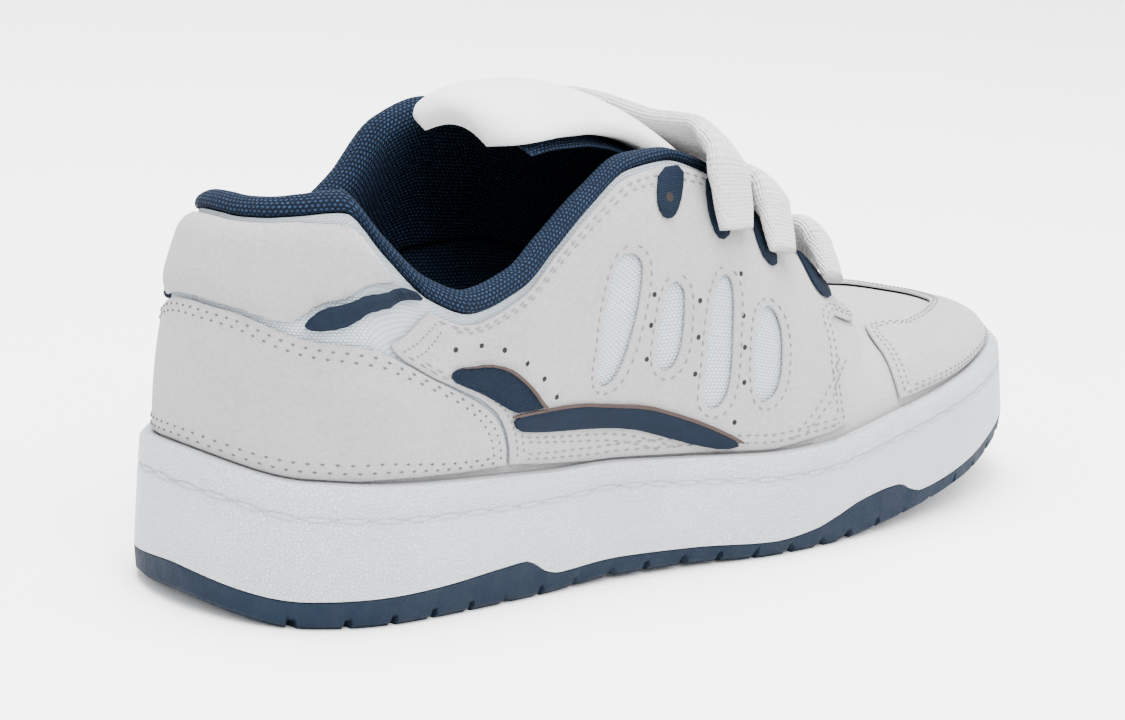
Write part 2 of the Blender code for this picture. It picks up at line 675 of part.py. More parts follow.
def lace_path(slot, along, lift):
    """Middle line of a lace bar from the outer slot over the tongue to the inner slot."""
    x = along * LENGTH
    height, thick = [float(fair([r[0] for r in TONGUE], [r[i] for r in TONGUE], along)) for i in (1, 3)]
    z = height * INSTEP_HEIGHT + thick * TONGUE_THICK / 2 + lift * MM
    middle = np.array([x, float(swing(x)), z + 0.5 * LACE_THICK])
    over = TRIM_TOP + GAP + 0.5 * LACE_THICK
    ends = []
    for place in (slot, 2 - slot):
        ends.append([on_upper(place, 0.76, over - 1.2 * MM)[0], on_upper(place, 0.90, over + 0.6 * MM)[0],
                     on_upper(place, 1.0, over + 1.6 * MM)[0]])
    near, far = ends
    bow = np.array([0.30, 0.58, 0.30])
    rise = np.array([0, 0, 1.5 * MM])
    shoulders = [middle + (end[2] - middle) * bow + rise for end in ends]
    return np.array(near + [shoulders[0], middle, shoulders[1]] + far[::-1])


def lace_rings(slot, along, lift, wide_share, steps, points):
    line = lace_path(slot, along, lift)
    at = np.linspace(0, len(line) - 1, steps)
    knots = np.arange(len(line))
    centre = np.stack([fair(knots, line[:, i], at) for i in range(3)], axis=1)
    forward = np.gradient(centre, axis=0)
    forward /= np.linalg.norm(forward, axis=1)[:, None]
    rings = []
    for place, run, s in zip(centre, forward, np.linspace(-1, 1, steps)):
        slope = np.array([0.78, 0.0, -0.62])
        wide = slope - run * np.dot(slope, run)
        wide /= np.linalg.norm(wide)
        thin = np.cross(run, wide)
        swell = wide_share * (1 - 0.28 * abs(s) ** 3)
        flat = 1 - 0.40 * abs(s) ** 3
        ring = []
        for k in range(points):
            turn = 2 * math.pi * k / points
            c, r = math.cos(turn), math.sin(turn)
            ring.append(place + wide * c * LACE_WIDTH / 2 * swell
                        + thin * math.copysign(abs(r) ** 0.7, r) * LACE_THICK / 2 * flat)
        rings.append(np.array(ring))
    return rings


def dense_outline(outline, step_around, step_up):
    """The outline with points added so that no step is longer than asked."""
    points = []
    for (a0, u0), (a1, u1) in zip(outline, list(outline[1:]) + [outline[0]]):
        pieces = max(1, math.ceil(max(abs(a1 - a0) / step_around, abs(u1 - u0) / step_up) - 1e-9))
        for k in range(pieces):
            points.append((a0 + (a1 - a0) * k / pieces, u0 + (u1 - u0) * k / pieces))
    return points


def inside(outline, a, u):
    hit = False
    for (a0, u0), (a1, u1) in zip(outline, list(outline[1:]) + [outline[0]]):
        if (u0 > u) != (u1 > u) and a < (a1 - a0) * (u - u0) / (u1 - u0) + a0:
            hit = not hit
    return hit


AROUND_SIZE = 340 * MM
UP_SIZE = 85 * MM


def edge_distance(outlines, points):
    """Rough distance on the upper from each point to the nearest outline."""
    points = np.asarray(points, float) * (AROUND_SIZE, UP_SIZE)
    best = np.full(len(points), 1.0)
    for outline in outlines:
        start = np.asarray(outline, float) * (AROUND_SIZE, UP_SIZE)
        run = np.roll(start, -1, axis=0) - start
        square = np.maximum((run ** 2).sum(axis=1), 1e-18)
        s = np.clip(((points[:, None] - start) * run).sum(axis=2) / square, 0, 1)
        gap = np.linalg.norm(points[:, None] - start - s[:, :, None] * run, axis=2)
        best = np.minimum(best, gap.min(axis=1))
    return best


def patch_solid(outline, holes, low, high, puff, step_around, step_up, grid_around, grid_up, margin):
    """Overlay cut from the upper's own surface, from one lift above it to another."""
    loops = [dense_outline(o, step_around, step_up) for o in [outline] + list(holes)]
    flat = [p for loop in loops for p in loop]
    edges = []
    start = 0
    for loop in loops:
        edges += [(start + k, start + (k + 1) % len(loop)) for k in range(len(loop))]
        start += len(loop)
    grid = [(a, u) for a in grid_around for u in grid_up
            if inside(outline, a, u) and not any(inside(h, a, u) for h in holes)]
    if grid:
        far = edge_distance(loops, grid)
        flat += [g for g, d in zip(grid, far) if d > margin]
    scaled = [Vector((a * AROUND_SIZE * 100, u * UP_SIZE * 100)) for a, u in flat]
    made, _, triangles, _, _, _ = delaunay_2d_cdt(scaled, edges, [], 0, 1e-6)
    chart = np.array([(v.x / (AROUND_SIZE * 100), v.y / (UP_SIZE * 100)) for v in made])
    kept = []
    for triangle in triangles:
        a, u = chart[list(triangle)].mean(axis=0)
        if inside(outline, a, u) and not any(inside(h, a, u) for h in holes):
            kept.append(tuple(triangle))
    depth = edge_distance(loops, chart)
    top = high + puff * np.sin(np.clip(depth / (9 * MM), 0, 1) * math.pi / 2)
    top = top - 0.35 * (high - low) * (1 - np.clip(depth / (1.0 * MM), 0, 1))
    count = len(chart)
    points = np.vstack([on_upper(chart[:, 0], chart[:, 1], low), on_upper(chart[:, 0], chart[:, 1], top)])
    used = {}
    faces = []
    for a, b, c in kept:
        faces.append((a, c, b))
        faces.append((a + count, b + count, c + count))
        for pair in ((a, b), (b, c), (c, a)):
            used.setdefault(tuple(sorted(pair)), []).append(pair)
    for pairs in used.values():
        if len(pairs) == 1:
            a, b = pairs[0]
            faces.append((a, b, b + count, a + count))
    return points, faces


def both_ways(edge):
    """A heel outline: the listed half, and its mirror on the inner side."""
    return tuple(edge) + tuple((-a, u) for a, u in reversed(edge))


def past_toe(edge):
    """A toe outline: the listed half, and its mirror on the inner side."""
    return tuple(edge) + tuple((2 - a, u) for a, u in reversed(edge))


def mirrored(edge):
    return tuple((2 - a, u) for a, u in reversed(edge))


def plain_material(name, colour, rough):
    material = bpy.data.materials.new(name)
    material.use_nodes = True
    shader = material.node_tree.nodes["Principled BSDF"]
    shader.inputs["Base Color"].default_value = (*colour, 1.0)
    shader.inputs["Roughness"].default_value = rough
    material.diffuse_color = (*colour, 1.0)
    return material


def add_solid(name, solid, material):
    points, faces = solid
    mesh = bpy.data.meshes.new(name)
    mesh.from_pydata([tuple(p) for p in points - np.array(ORIGIN)], [], [list(f) for f in faces])
    body = bmesh.new()
    body.from_mesh(mesh)
    bmesh.ops.remove_doubles(body, verts=body.verts, dist=1e-6)
    bmesh.ops.delete(body, geom=[v for v in body.verts if not v.link_faces], context="VERTS")
    bmesh.ops.recalc_face_normals(body, faces=body.faces)
    bmesh.ops.triangulate(body, faces=[f for f in body.faces if len(f.verts) > 3])
    body.to_mesh(mesh)
    body.free()
    mesh.materials.append(material)
    mesh.polygons.foreach_set("use_smooth", [True] * len(mesh.polygons))
    mesh.set_sharp_from_angle(angle=math.radians(40))
    thing = bpy.data.objects.new(name, mesh)
    bpy.context.scene.collection.objects.link(thing)
    return thing


WHITE = (0.80, 0.80, 0.79)
SUEDE = (0.72, 0.70, 0.68)
NAVY = (0.035, 0.075, 0.15)


def overlay(name, outline, low, high, colour, rough, holes=(), puff=0.0):
    turns = list(TURNS) + [-t for t in TURNS[1:]] + [2 - t for t in TURNS[:-1]]
    solid = patch_solid(outline, holes, low, high, puff, 0.035, 0.16, turns, OUTER_ROWS[1:], 3 * MM)
    return add_solid(name, solid, plain_material(name, colour, rough))


def main():
    for thing in list(bpy.data.objects):
        bpy.data.objects.remove(thing, do_unlink=True)
    sole = around_loop(SOLE_TURNS)
    loop = around_loop(TURNS)
    add_solid("outsole", outsole_solid(), plain_material("outsole", NAVY, 0.6))
    add_solid("midsole", loft(midsole_rings(sole)), plain_material("midsole", WHITE, 0.5))
    add_solid("insole", loft(insole_rings(loop)), plain_material("insole", NAVY, 0.9))
    add_solid("upper", upper_solid(TURNS, OUTER_ROWS, INNER_ROWS), plain_material("upper", WHITE, 0.85))
    stations = [r[0] for r in TONGUE]
    add_solid("tongue", loft(tongue_sections(stations, 0.0, 0.0, 0.0, 16)), plain_material("tongue", WHITE, 0.8))
    stations = [r[0] for r in TONGUE[1:11]]
    add_solid("tongue_lining", loft(tongue_sections(stations, GAP, LINING, 1.2 * MM, 16)),
              plain_material("tongue_lining", NAVY, 0.9))
    stations = [s for s in sorted(set(TURNS) | set(-t for t in TURNS)) if abs(s) <= COLLAR_END]
    add_solid("collar_lining", loft(collar_rings(stations)), plain_material("collar_lining", NAVY, 0.9))
    overlay("heel_panel", both_ways(HEEL_PANEL_EDGE), OVERLAY_LOW, OVERLAY_TOP, WHITE, 0.8, puff=HEEL_PUFF)
    overlay("heel_counter", both_ways(COUNTER_EDGE), OVERLAY_LOW, OVERLAY_TOP, SUEDE, 0.9)
    overlay("toe_cap", past_toe(TOE_CAP_EDGE), OVERLAY_LOW, OVERLAY_TOP, SUEDE, 0.9)
    for side, turn in (("outer", tuple), ("inner", mirrored)):
        windows = [turn(w) for w in WINDOWS]
        overlay("quarter_" + side, turn(QUARTER_EDGE), OVERLAY_LOW, OVERLAY_TOP, SUEDE, 0.9, holes=windows)
        overlay("heel_piping_" + side, turn(PIPING_EDGE), OVERLAY_LOW, TRIM_TOP, NAVY, 0.8)
        overlay("side_stripe_" + side, turn(STRIPE_EDGE), TRIM_LOW, TRIM_TOP, NAVY, 0.7)
        overlay("collar_patch_" + side, turn(PATCH_EDGE), TRIM_LOW, TRIM_TOP, NAVY, 0.8)
        for number, edge in enumerate(LOOPS):
            overlay("lace_loop_%s_%d" % (side, number + 1), turn(edge), TRIM_LOW, TRIM_TOP, NAVY, 0.8)
    for number, row in enumerate(LACE_BARS):
        add_solid("lace_bar_%d" % (number + 1), loft(lace_rings(*row, 17, 12)),
                  plain_material("lace_bar_%d" % (number + 1), WHITE, 0.85))


main()
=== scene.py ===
"""Looks of the skateboarding shoe: every piece built finely round the same last, with its materials."""
import math

import bmesh
import bpy
import numpy as np
from mathutils import Matrix, Vector
from mathutils.geometry import delaunay_2d_cdt


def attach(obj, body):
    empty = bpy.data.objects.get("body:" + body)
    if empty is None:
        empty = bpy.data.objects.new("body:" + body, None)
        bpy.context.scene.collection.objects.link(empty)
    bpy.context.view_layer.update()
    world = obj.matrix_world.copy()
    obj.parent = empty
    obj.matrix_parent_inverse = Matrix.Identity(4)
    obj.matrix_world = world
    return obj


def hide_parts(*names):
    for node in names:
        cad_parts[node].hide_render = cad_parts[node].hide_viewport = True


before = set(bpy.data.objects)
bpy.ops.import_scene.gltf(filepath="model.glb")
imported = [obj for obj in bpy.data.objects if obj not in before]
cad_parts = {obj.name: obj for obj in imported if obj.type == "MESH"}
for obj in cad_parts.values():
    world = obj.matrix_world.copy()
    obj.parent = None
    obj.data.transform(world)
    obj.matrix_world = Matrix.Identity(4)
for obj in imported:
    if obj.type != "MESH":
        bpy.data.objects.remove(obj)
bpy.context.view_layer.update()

MM = 0.001
GAP = 0.3 * MM

# Driving sizes of the sole
LENGTH = 302 * MM
BALL_WIDTH = 110 * MM
HEEL_WIDTH = 90 * MM
RIM_HEIGHT = 38 * MM
RIM_WALL = 4.6 * MM
TOE_SPRING = 19 * MM
SPRING_POWER = 1.25
SPRING_START = 0.62
ARCH_LIFT = 1.2 * MM
HEEL_BEVEL = 3.4 * MM
HEEL_BEVEL_RUN = 14 * MM
GROOVE_DEPTH = 0.9 * MM
GROOVE_WIDTH = 2.2 * MM
PLATE = 6.0 * MM

# Driving sizes of the upper
INSTEP_HEIGHT = 110 * MM
UPPER_WALL = 2.2 * MM
THROAT_END = 0.75
OVERLAY_LOW = 0.7 * MM
OVERLAY_TOP = 1.7 * MM
TRIM_LOW = 2.1 * MM
TRIM_TOP = 2.9 * MM
HEEL_PUFF = 1.8 * MM
LACE_WIDTH = 18 * MM
LACE_THICK = 7 * MM
TONGUE_THICK = 10 * MM
TONGUE_DROP = 9 * MM
TONGUE_DROP_AT = 30 * MM
LINING = 1.6 * MM

# Tread of the outsole
TREAD_PITCH = 12 * MM
TREAD_WIDTH = 1.8 * MM
TREAD_DEPTH = 2.0 * MM
INSOLE_THICK = 4 * MM

# Where the origin stands: below the middle of the whole shoe
ORIGIN = (150.47 * MM, -0.97 * MM, 0.0)

# Sole outline: round is the share of the way from heel to toe, along a share of LENGTH,
# outer and inner shares of half the local width
SOLE_OUTLINE = (
    # round, along, outer, inner
    (0.000, 0.000, 0.000, 0.000),
    (0.050, 0.012, 0.410, 0.400),
    (0.100, 0.045, 0.733, 0.700),
    (0.150, 0.100, 0.931, 0.900),
    (0.210, 0.170, 1.000, 0.967),
    (0.290, 0.260, 1.015, 0.967),
    (0.380, 0.360, 1.000, 0.880),
    (0.460, 0.460, 0.970, 0.810),
    (0.550, 0.560, 0.998, 0.836),
    (0.620, 0.650, 1.000, 0.918),
    (0.690, 0.730, 0.980, 0.964),
    (0.750, 0.800, 0.927, 0.964),
    (0.820, 0.870, 0.793, 0.890),
    (0.870, 0.930, 0.609, 0.736),
    (0.925, 0.972, 0.345, 0.527),
    (0.965, 0.993, 0.110, 0.310),
    (1.000, 1.000, -0.110, 0.110),
)

# Heights of the cup above the ground line, as shares of RIM_HEIGHT
CUP_HEIGHTS = (
    # round, rim outer, rim inner, groove drop, floor
    (0.00, 0.968, 0.968, 0.188, 0.42),
    (0.05, 0.972, 0.972, 0.182, 0.42),
    (0.10, 0.980, 0.975, 0.200, 0.42),
    (0.15, 0.955, 0.955, 0.195, 0.42),
    (0.21, 0.922, 0.922, 0.187, 0.41),
    (0.29, 0.877, 0.877, 0.169, 0.40),
    (0.38, 0.820, 0.830, 0.130, 0.38),
    (0.46, 0.770, 0.785, 0.140, 0.36),
    (0.55, 0.760, 0.770, 0.145, 0.34),
    (0.62, 0.780, 0.765, 0.135, 0.32),
    (0.69, 0.800, 0.755, 0.130, 0.31),
    (0.75, 0.790, 0.730, 0.125, 0.30),
    (0.82, 0.745, 0.690, 0.120, 0.29),
    (0.90, 0.670, 0.630, 0.120, 0.28),
    (1.00, 0.585, 0.585, 0.120, 0.28),
)

# Upper edge of the outsole on the side wall, as shares of RIM_HEIGHT
OUTSOLE_EDGE = (
    # round, height
    (0.000, 0.205),
    (0.050, 0.190),
    (0.100, 0.195),
    (0.150, 0.203),
    (0.210, 0.230),
    (0.260, 0.270),
    (0.286, 0.284),
    (0.296, 0.250),
    (0.308, 0.185),
    (0.325, 0.150),
    (0.380, 0.148),
    (0.460, 0.130),
    (0.530, 0.122),
    (0.570, 0.160),
    (0.595, 0.230),
    (0.620, 0.280),
    (0.645, 0.292),
    (0.668, 0.275),
    (0.682, 0.200),
    (0.695, 0.150),
    (0.720, 0.140),
    (0.800, 0.150),
    (1.000, 0.150),
)

# Top line of the upper and the ribs that rise to it from the rim of the cup
# along is a share of LENGTH, half a share of half of BALL_WIDTH, outer and inner heights of INSTEP_HEIGHT
# lean is the first slope in degrees off vertical, out positive, rise the last slope in degrees
# low and high pull are shares of the rib's chord
TOP_LINE = (
    # round, along, half, outer, inner, lean, low_pull, rise, high_pull
    (0.00, 0.040, 0.000, 0.890, 0.890, 3, 0.38, 68, 0.25),
    (0.05, 0.045, 0.200, 0.900, 0.882, 3, 0.38, 68, 0.25),
    (0.10, 0.060, 0.345, 0.914, 0.860, 4, 0.38, 70, 0.25),
    (0.15, 0.088, 0.473, 0.927, 0.828, 5, 0.38, 74, 0.25),
    (0.18, 0.118, 0.564, 0.830, 0.790, 5, 0.38, 78, 0.25),
    (0.21, 0.157, 0.636, 0.727, 0.760, 5, 0.38, 82, 0.25),
    (0.24, 0.196, 0.673, 0.688, 0.750, 4, 0.38, 84, 0.25),
    (0.29, 0.249, 0.673, 0.727, 0.830, 3, 0.38, 80, 0.25),
    (0.33, 0.288, 0.645, 0.800, 0.960, 2, 0.38, 75, 0.27),
    (0.38, 0.338, 0.600, 0.895, 1.010, 0, 0.36, 68, 0.28),
    (0.42, 0.387, 0.555, 0.964, 1.010, -2, 0.35, 62, 0.30),
    (0.46, 0.434, 0.527, 0.973, 0.985, -4, 0.35, 56, 0.32),
    (0.50, 0.480, 0.509, 0.941, 0.941, -6, 0.35, 50, 0.33),
    (0.53, 0.521, 0.491, 0.886, 0.886, -7, 0.34, 45, 0.34),
    (0.57, 0.566, 0.455, 0.790, 0.790, -8, 0.34, 36, 0.35),
    (0.62, 0.632, 0.400, 0.685, 0.685, -8, 0.33, 27, 0.36),
    (0.66, 0.692, 0.270, 0.580, 0.580, -6, 0.32, 18, 0.38),
    (0.70, 0.748, 0.035, 0.505, 0.505, -4, 0.30, 10, 0.42),
    (0.73, 0.788, 0.010, 0.468, 0.468, -4, 0.27, 4, 0.46),
    (0.75, 0.805, 0.000, 0.450, 0.450, -5, 0.25, 0, 0.50),
    (0.82, 0.851, 0.000, 0.443, 0.443, -12, 0.25, 0, 0.52),
    (0.87, 0.881, 0.000, 0.436, 0.436, -16, 0.26, 0, 0.52),
    (0.925, 0.897, 0.000, 0.430, 0.430, -18, 0.27, 0, 0.50),
    (1.00, 0.911, 0.000, 0.424, 0.424, -18, 0.28, 0, 0.50),
)

# Sideways curve of the last, along as a share of LENGTH, side as a share of BALL_WIDTH
SWING = (
    # along, side
    (0.00, 0.000),
    (0.30, -0.013),
    (0.50, -0.020),
    (0.65, -0.010),
    (0.75, 0.030),
    (0.81, 0.060),
    (0.90, 0.095),
    (1.00, 0.100),
)


def fair(knots, values, at):
    """Smooth curve through the knots that doesn't overshoot them."""
    knots = np.asarray(knots, float)
    values = np.asarray(values, float)
    step = np.diff(knots)
    slope = np.diff(values) / step
    tangent = np.zeros(len(knots))
    tangent[0], tangent[-1] = slope[0], slope[-1]
    same = slope[1:] * slope[:-1] > 0
    weight_a = 2 * step[1:] + step[:-1]
    weight_b = step[1:] + 2 * step[:-1]
    inner = np.zeros(len(knots) - 2)
    inner[same] = (weight_a + weight_b)[same] / (
        weight_a[same] / slope[:-1][same] + weight_b[same] / slope[1:][same])
    tangent[1:-1] = inner
    at = np.clip(np.asarray(at, float), knots[0], knots[-1])
    index = np.clip(np.searchsorted(knots, at, side="right") - 1, 0, len(step) - 1)
    width = step[index]
    s = (at - knots[index]) / width
    return (values[index] * (1 + 2 * s) * (1 - s) ** 2 + tangent[index] * width * s * (1 - s) ** 2
            + values[index + 1] * s * s * (3 - 2 * s) + tangent[index + 1] * width * s * s * (s - 1))


def listed(table, index, at):
    """One column of a table, by the numbers of its first column."""
    return fair([row[0] for row in table], [row[index] for row in table], at)


def fold(around):
    """Turn a place on the loop, 0 to 2 from the heel and back, into round and side."""
    turn = np.mod(around, 2.0)
    side = np.where(turn <= 1.0, -1.0, 1.0)
    return 1.0 - np.abs(1.0 - turn), side


def column(table, index, share, odd=False):
    """One column of a table by round, mirrored past the heel and the toe."""
    knots = [row[0] for row in table]
    values = [row[index] for row in table]
    sign = -1 if odd else 1
    before = [(-k, sign * v) for k, v in zip(knots[3:0:-1], values[3:0:-1])]
    after = [(2 - k, sign * v) for k, v in zip(knots[-2:-5:-1], values[-2:-5:-1])]
    rows = before + list(zip(knots, values)) + after
    return fair([r[0] for r in rows], [r[1] for r in rows], share)


def smooth(low, high, at):
    """Soft step from 0 at low to 1 at high."""
    s = np.clip((at - low) / (high - low), 0, 1)
    return s * s * (3 - 2 * s)


def outline_loop():
    """Knots and points of the sole outline, up the outer side and back down the inner."""
    knots = []
    points = []
    for side, rows in ((-1, SOLE_OUTLINE), (1, SOLE_OUTLINE[-2:0:-1])):
        for share, along, outer, inner in rows:
            wide = smooth(0.30, 0.55, along)
            half = (HEEL_WIDTH * (1 - wide) + BALL_WIDTH * wide) / 2
            out = -outer if side < 0 else inner
            knots.append(share if side < 0 else 2 - share)
            points.append((along * LENGTH, out * half))
    return np.array(knots), np.array(points)


def loop_bend(points, step):
    """Second slopes of the closed cubic spline through the points."""
    count = len(points)
    system = np.zeros((count, count))
    right = np.zeros((count, 2))
    for i in range(count):
        before, after = step[i - 1], step[i]
        system[i, i - 1] += before
        system[i, i] += 2 * (before + after)
        system[i, (i + 1) % count] += after
        right[i] = 6 * ((points[(i + 1) % count] - points[i]) / after - (points[i] - points[i - 1]) / before)
    return np.linalg.solve(system, right)


ROUND = 2.0
KNOTS, POINTS = outline_loop()
STEPS = np.diff(np.append(KNOTS, KNOTS[0] + ROUND))
BEND = loop_bend(POINTS, STEPS)


def outline_spline(at):
    """Place and slope on the closed cubic spline through the sole outline."""
    count = len(POINTS)
    at = np.mod(np.asarray(at, float) - KNOTS[0], ROUND) + KNOTS[0]
    index = np.clip(np.searchsorted(KNOTS, at, side="right") - 1, 0, count - 1)
    following = (index + 1) % count
    h = STEPS[index][:, None]
    b = (at[:, None] - KNOTS[index][:, None]) / h
    a = 1 - b
    place = (a * POINTS[index] + b * POINTS[following]
             + ((a ** 3 - a) * BEND[index] + (b ** 3 - b) * BEND[following]) * h * h / 6)
    slope = ((POINTS[following] - POINTS[index]) / h
             + ((1 - 3 * a * a) * BEND[index] + (3 * b * b - 1) * BEND[following]) * h / 6)
    return place, slope


def sole_edge(around):
    """Plan points of the sole's edge and its outward directions."""
    around = np.atleast_1d(np.asarray(around, float))
    place, slope = outline_spline(around)
    out = np.stack([slope[:, 1], -slope[:, 0]], axis=1)
    out /= np.linalg.norm(out, axis=1)[:, None]
    return place, out


def ground(x):
    """Height of the outsole's underside: arch lift and toe spring."""
    share = x / LENGTH
    spring = np.clip((share - SPRING_START) / (1 - SPRING_START), 0, None) ** SPRING_POWER
    bevel = HEEL_BEVEL * np.clip(1 - x / HEEL_BEVEL_RUN, 0, 1) ** 2
    arch = smooth(0.28, 0.36, share) * (1 - smooth(0.44, 0.54, share))
    return TOE_SPRING * spring + ARCH_LIFT * arch + bevel


def tilt(x):
    """Forward slope of the ground line where the toe springs up, which leans the wall back."""
    run = np.clip((x / LENGTH - SPRING_START) / (1 - SPRING_START), 0, None)
    return TOE_SPRING * SPRING_POWER * run ** (SPRING_POWER - 1) / (LENGTH * (1 - SPRING_START))


def sole_point(around, inset, height):
    """Point of the sole: inset from its edge in plan, at a height over the ground line."""
    edge, out = sole_edge(around)
    place = edge - out * np.reshape(inset, (-1, 1))
    lift = np.broadcast_to(height, len(place))
    return np.column_stack([place[:, 0] - tilt(edge[:, 0]) * lift, place[:, 1], ground(edge[:, 0]) + lift])


def cup(around, index):
    """A height of the cup above the ground line; index 1 is the rim, on its own side of the shoe."""
    share, side = fold(around)
    if index != 1:
        return RIM_HEIGHT * column(CUP_HEIGHTS, index, share)
    outer = column(CUP_HEIGHTS, 1, share)
    inner = column(CUP_HEIGHTS, 2, share)
    return RIM_HEIGHT * np.where(side < 0, outer, inner)


def swing(x):
    """How far the last swings sideways."""
    return BALL_WIDTH * listed(SWING, 1, x / LENGTH)


def rib_parts(around):
    """Four control points of the rib at each place round the shoe, and its outward direction."""
    around = np.atleast_1d(np.asarray(around, float))
    share, side = fold(around)
    out = sole_edge(around)[1]
    start = sole_point(around, RIM_WALL + GAP, cup(around, 1))
    along, half, outer, inner, lean, low_pull, rise, high_pull = [
        column(TOP_LINE, i, share, odd=(i == 2)) for i in range(1, 9)]
    top_x = along * LENGTH
    height = np.where(side < 0, outer, inner)
    top = np.column_stack([top_x, swing(top_x) + side * half * BALL_WIDTH / 2, height * INSTEP_HEIGHT])
    chord = np.linalg.norm(top - start, axis=1)[:, None]
    lean = np.radians(lean)[:, None]
    rise = np.radians(rise)[:, None]
    out3 = np.column_stack([out, np.zeros(len(out))])
    up = np.array([0.0, 0.0, 1.0])
    first = np.sin(lean) * out3 + np.cos(lean) * up
    near = np.clip(share, THROAT_END, 0.96)
    ahead = column(TOP_LINE, 3, near + 0.02) - column(TOP_LINE, 3, near - 0.02)
    run = column(TOP_LINE, 1, near + 0.02) - column(TOP_LINE, 1, near - 0.02)
    ridge = ahead * INSTEP_HEIGHT / (run * LENGTH) * smooth(THROAT_END - 0.03, THROAT_END, share)
    last = np.cos(rise) * -out3 + np.sin(rise) * up
    last[:, 2] += ridge * -out3[:, 0]
    last /= np.linalg.norm(last, axis=1)[:, None]
    low, high = start + first * chord * low_pull[:, None], top - last * chord * high_pull[:, None]
    return start, low, high, top, out3


def last_point(around, up_share):
    """Outer surface of the upper: up_share 0 at the rim, 1 at the top line, below 0 inside the cup."""
    around = np.atleast_1d(np.asarray(around, float))
    v = np.broadcast_to(np.asarray(up_share, float), around.shape)
    a, b, c, d, _ = rib_parts(around)
    s = np.clip(v, 0, 1)[:, None]
    place = a * (1 - s) ** 3 + 3 * b * s * (1 - s) ** 2 + 3 * c * s * s * (1 - s) + d * s ** 3
    below = sole_point(around, RIM_WALL + GAP, cup(around, 4) + GAP) - a
    return place + below * np.clip(-v, 0, 1)[:, None]


def last_normal(around, up_share):
    """Outward direction of the upper's surface."""
    around = np.atleast_1d(np.asarray(around, float))
    v = np.broadcast_to(np.asarray(up_share, float), around.shape)
    da = 0.003
    low = np.clip(v - 0.012, -1, 0.975)
    ahead = last_point(around + da, np.minimum(v, 0.970)) - last_point(around - da, np.minimum(v, 0.970))
    rise = last_point(around, low + 0.024) - last_point(around, low)
    normal = np.cross(ahead, rise)
    normal /= np.linalg.norm(normal, axis=1)[:, None]
    return normal


def on_upper(around, up_share, lift=0.0):
    """Point lifted off the upper's surface."""
    return last_point(around, up_share) + last_normal(around, up_share) * np.reshape(lift, (-1, 1))


# Sample places, as round shares from heel to toe
TURN_COUNT, OUTER_COUNT, INNER_COUNT = 150, 44, 20
WAVE_CORNERS = {0.286, 0.296, 0.308, 0.668, 0.682, THROAT_END}
TURNS = tuple(sorted(set(round(k / TURN_COUNT, 5) for k in range(TURN_COUNT + 1)) | WAVE_CORNERS))
OUTER_ROWS = (-1.0, -0.5, 0.0) + tuple(round(k / OUTER_COUNT, 5) for k in range(1, OUTER_COUNT + 1))
INNER_ROWS = (-1.0, 0.0) + tuple(round(k / INNER_COUNT, 5) for k in range(1, INNER_COUNT + 1))

# Tongue along its middle line: along of LENGTH, height of INSTEP_HEIGHT, half of BALL_WIDTH / 2,
# thick of TONGUE_THICK
TONGUE = (
    # along, height, half, thick
    (0.280, 1.060, 0.400, 0.45),
    (0.292, 1.085, 0.430, 0.70),
    (0.330, 1.100, 0.420, 0.80),
    (0.364, 1.095, 0.400, 0.85),
    (0.400, 1.075, 0.375, 0.85),
    (0.440, 1.035, 0.355, 0.85),
    (0.497, 0.950, 0.360, 0.80),
    (0.545, 0.860, 0.395, 0.75),
    (0.590, 0.765, 0.385, 0.65),
    (0.635, 0.678, 0.325, 0.55),
    (0.680, 0.588, 0.240, 0.42),
    (0.715, 0.500, 0.190, 0.34),
    (0.745, 0.448, 0.175, 0.30),
    (0.781, 0.426, 0.170, 0.28),
    (0.828, 0.405, 0.160, 0.24),
)

# Collar padding, seen across its roll: run beyond the top line, lift off the upper's surface
COLLAR_ROLL = (
    # run mm, lift mm
    (-38.0, -3.6),
    (-20.0, -3.1),
    (-2.0, -3.0),
    (0.5, -2.8),
    (0.5, 1.0),
    (3.0, 1.6),
    (5.6, -0.8),
    (5.4, -4.5),
    (2.0, -7.6),
    (-6.0, -8.6),
    (-16.0, -7.8),
    (-28.0, -5.6),
)
COLLAR_END = 0.54

# Outlines of the overlays on the outer side, as places round the shoe and up the upper
HEEL_PANEL_EDGE = (
    # around, up
    (0.192, 0.970), (0.168, 0.765), (0.150, 0.668), (0.136, 0.640), (0.116, 0.628), (0.100, 0.578),
    (0.088, 0.553), (0.062, 0.567), (0.040, 0.585), (0.014, 0.590),
)
PIPING_EDGE = (
    (0.196, 0.970), (0.172, 0.745), (0.154, 0.648), (0.137, 0.620), (0.118, 0.608), (0.101, 0.552),
    (0.104, 0.528), (0.118, 0.522), (0.142, 0.545), (0.168, 0.645), (0.190, 0.845), (0.205, 0.970),
)
COUNTER_EDGE = (
    (0.268, 0.010), (0.266, 0.180), (0.257, 0.310), (0.246, 0.385), (0.234, 0.445), (0.218, 0.485),
    (0.204, 0.500), (0.178, 0.480), (0.156, 0.455), (0.138, 0.470), (0.114, 0.480), (0.088, 0.505),
    (0.062, 0.540), (0.040, 0.560), (0.014, 0.565),
)
QUARTER_EDGE = (
    (0.272, 0.010), (0.270, 0.180), (0.261, 0.320), (0.250, 0.400), (0.238, 0.460), (0.221, 0.500),
    (0.204, 0.515), (0.177, 0.495), (0.168, 0.520), (0.176, 0.560), (0.190, 0.670), (0.213, 0.975),
    (0.690, 0.975), (0.686, 0.860), (0.684, 0.720), (0.676, 0.640), (0.660, 0.610), (0.616, 0.600),
    (0.618, 0.450), (0.612, 0.300), (0.612, 0.170), (0.616, 0.010),
)
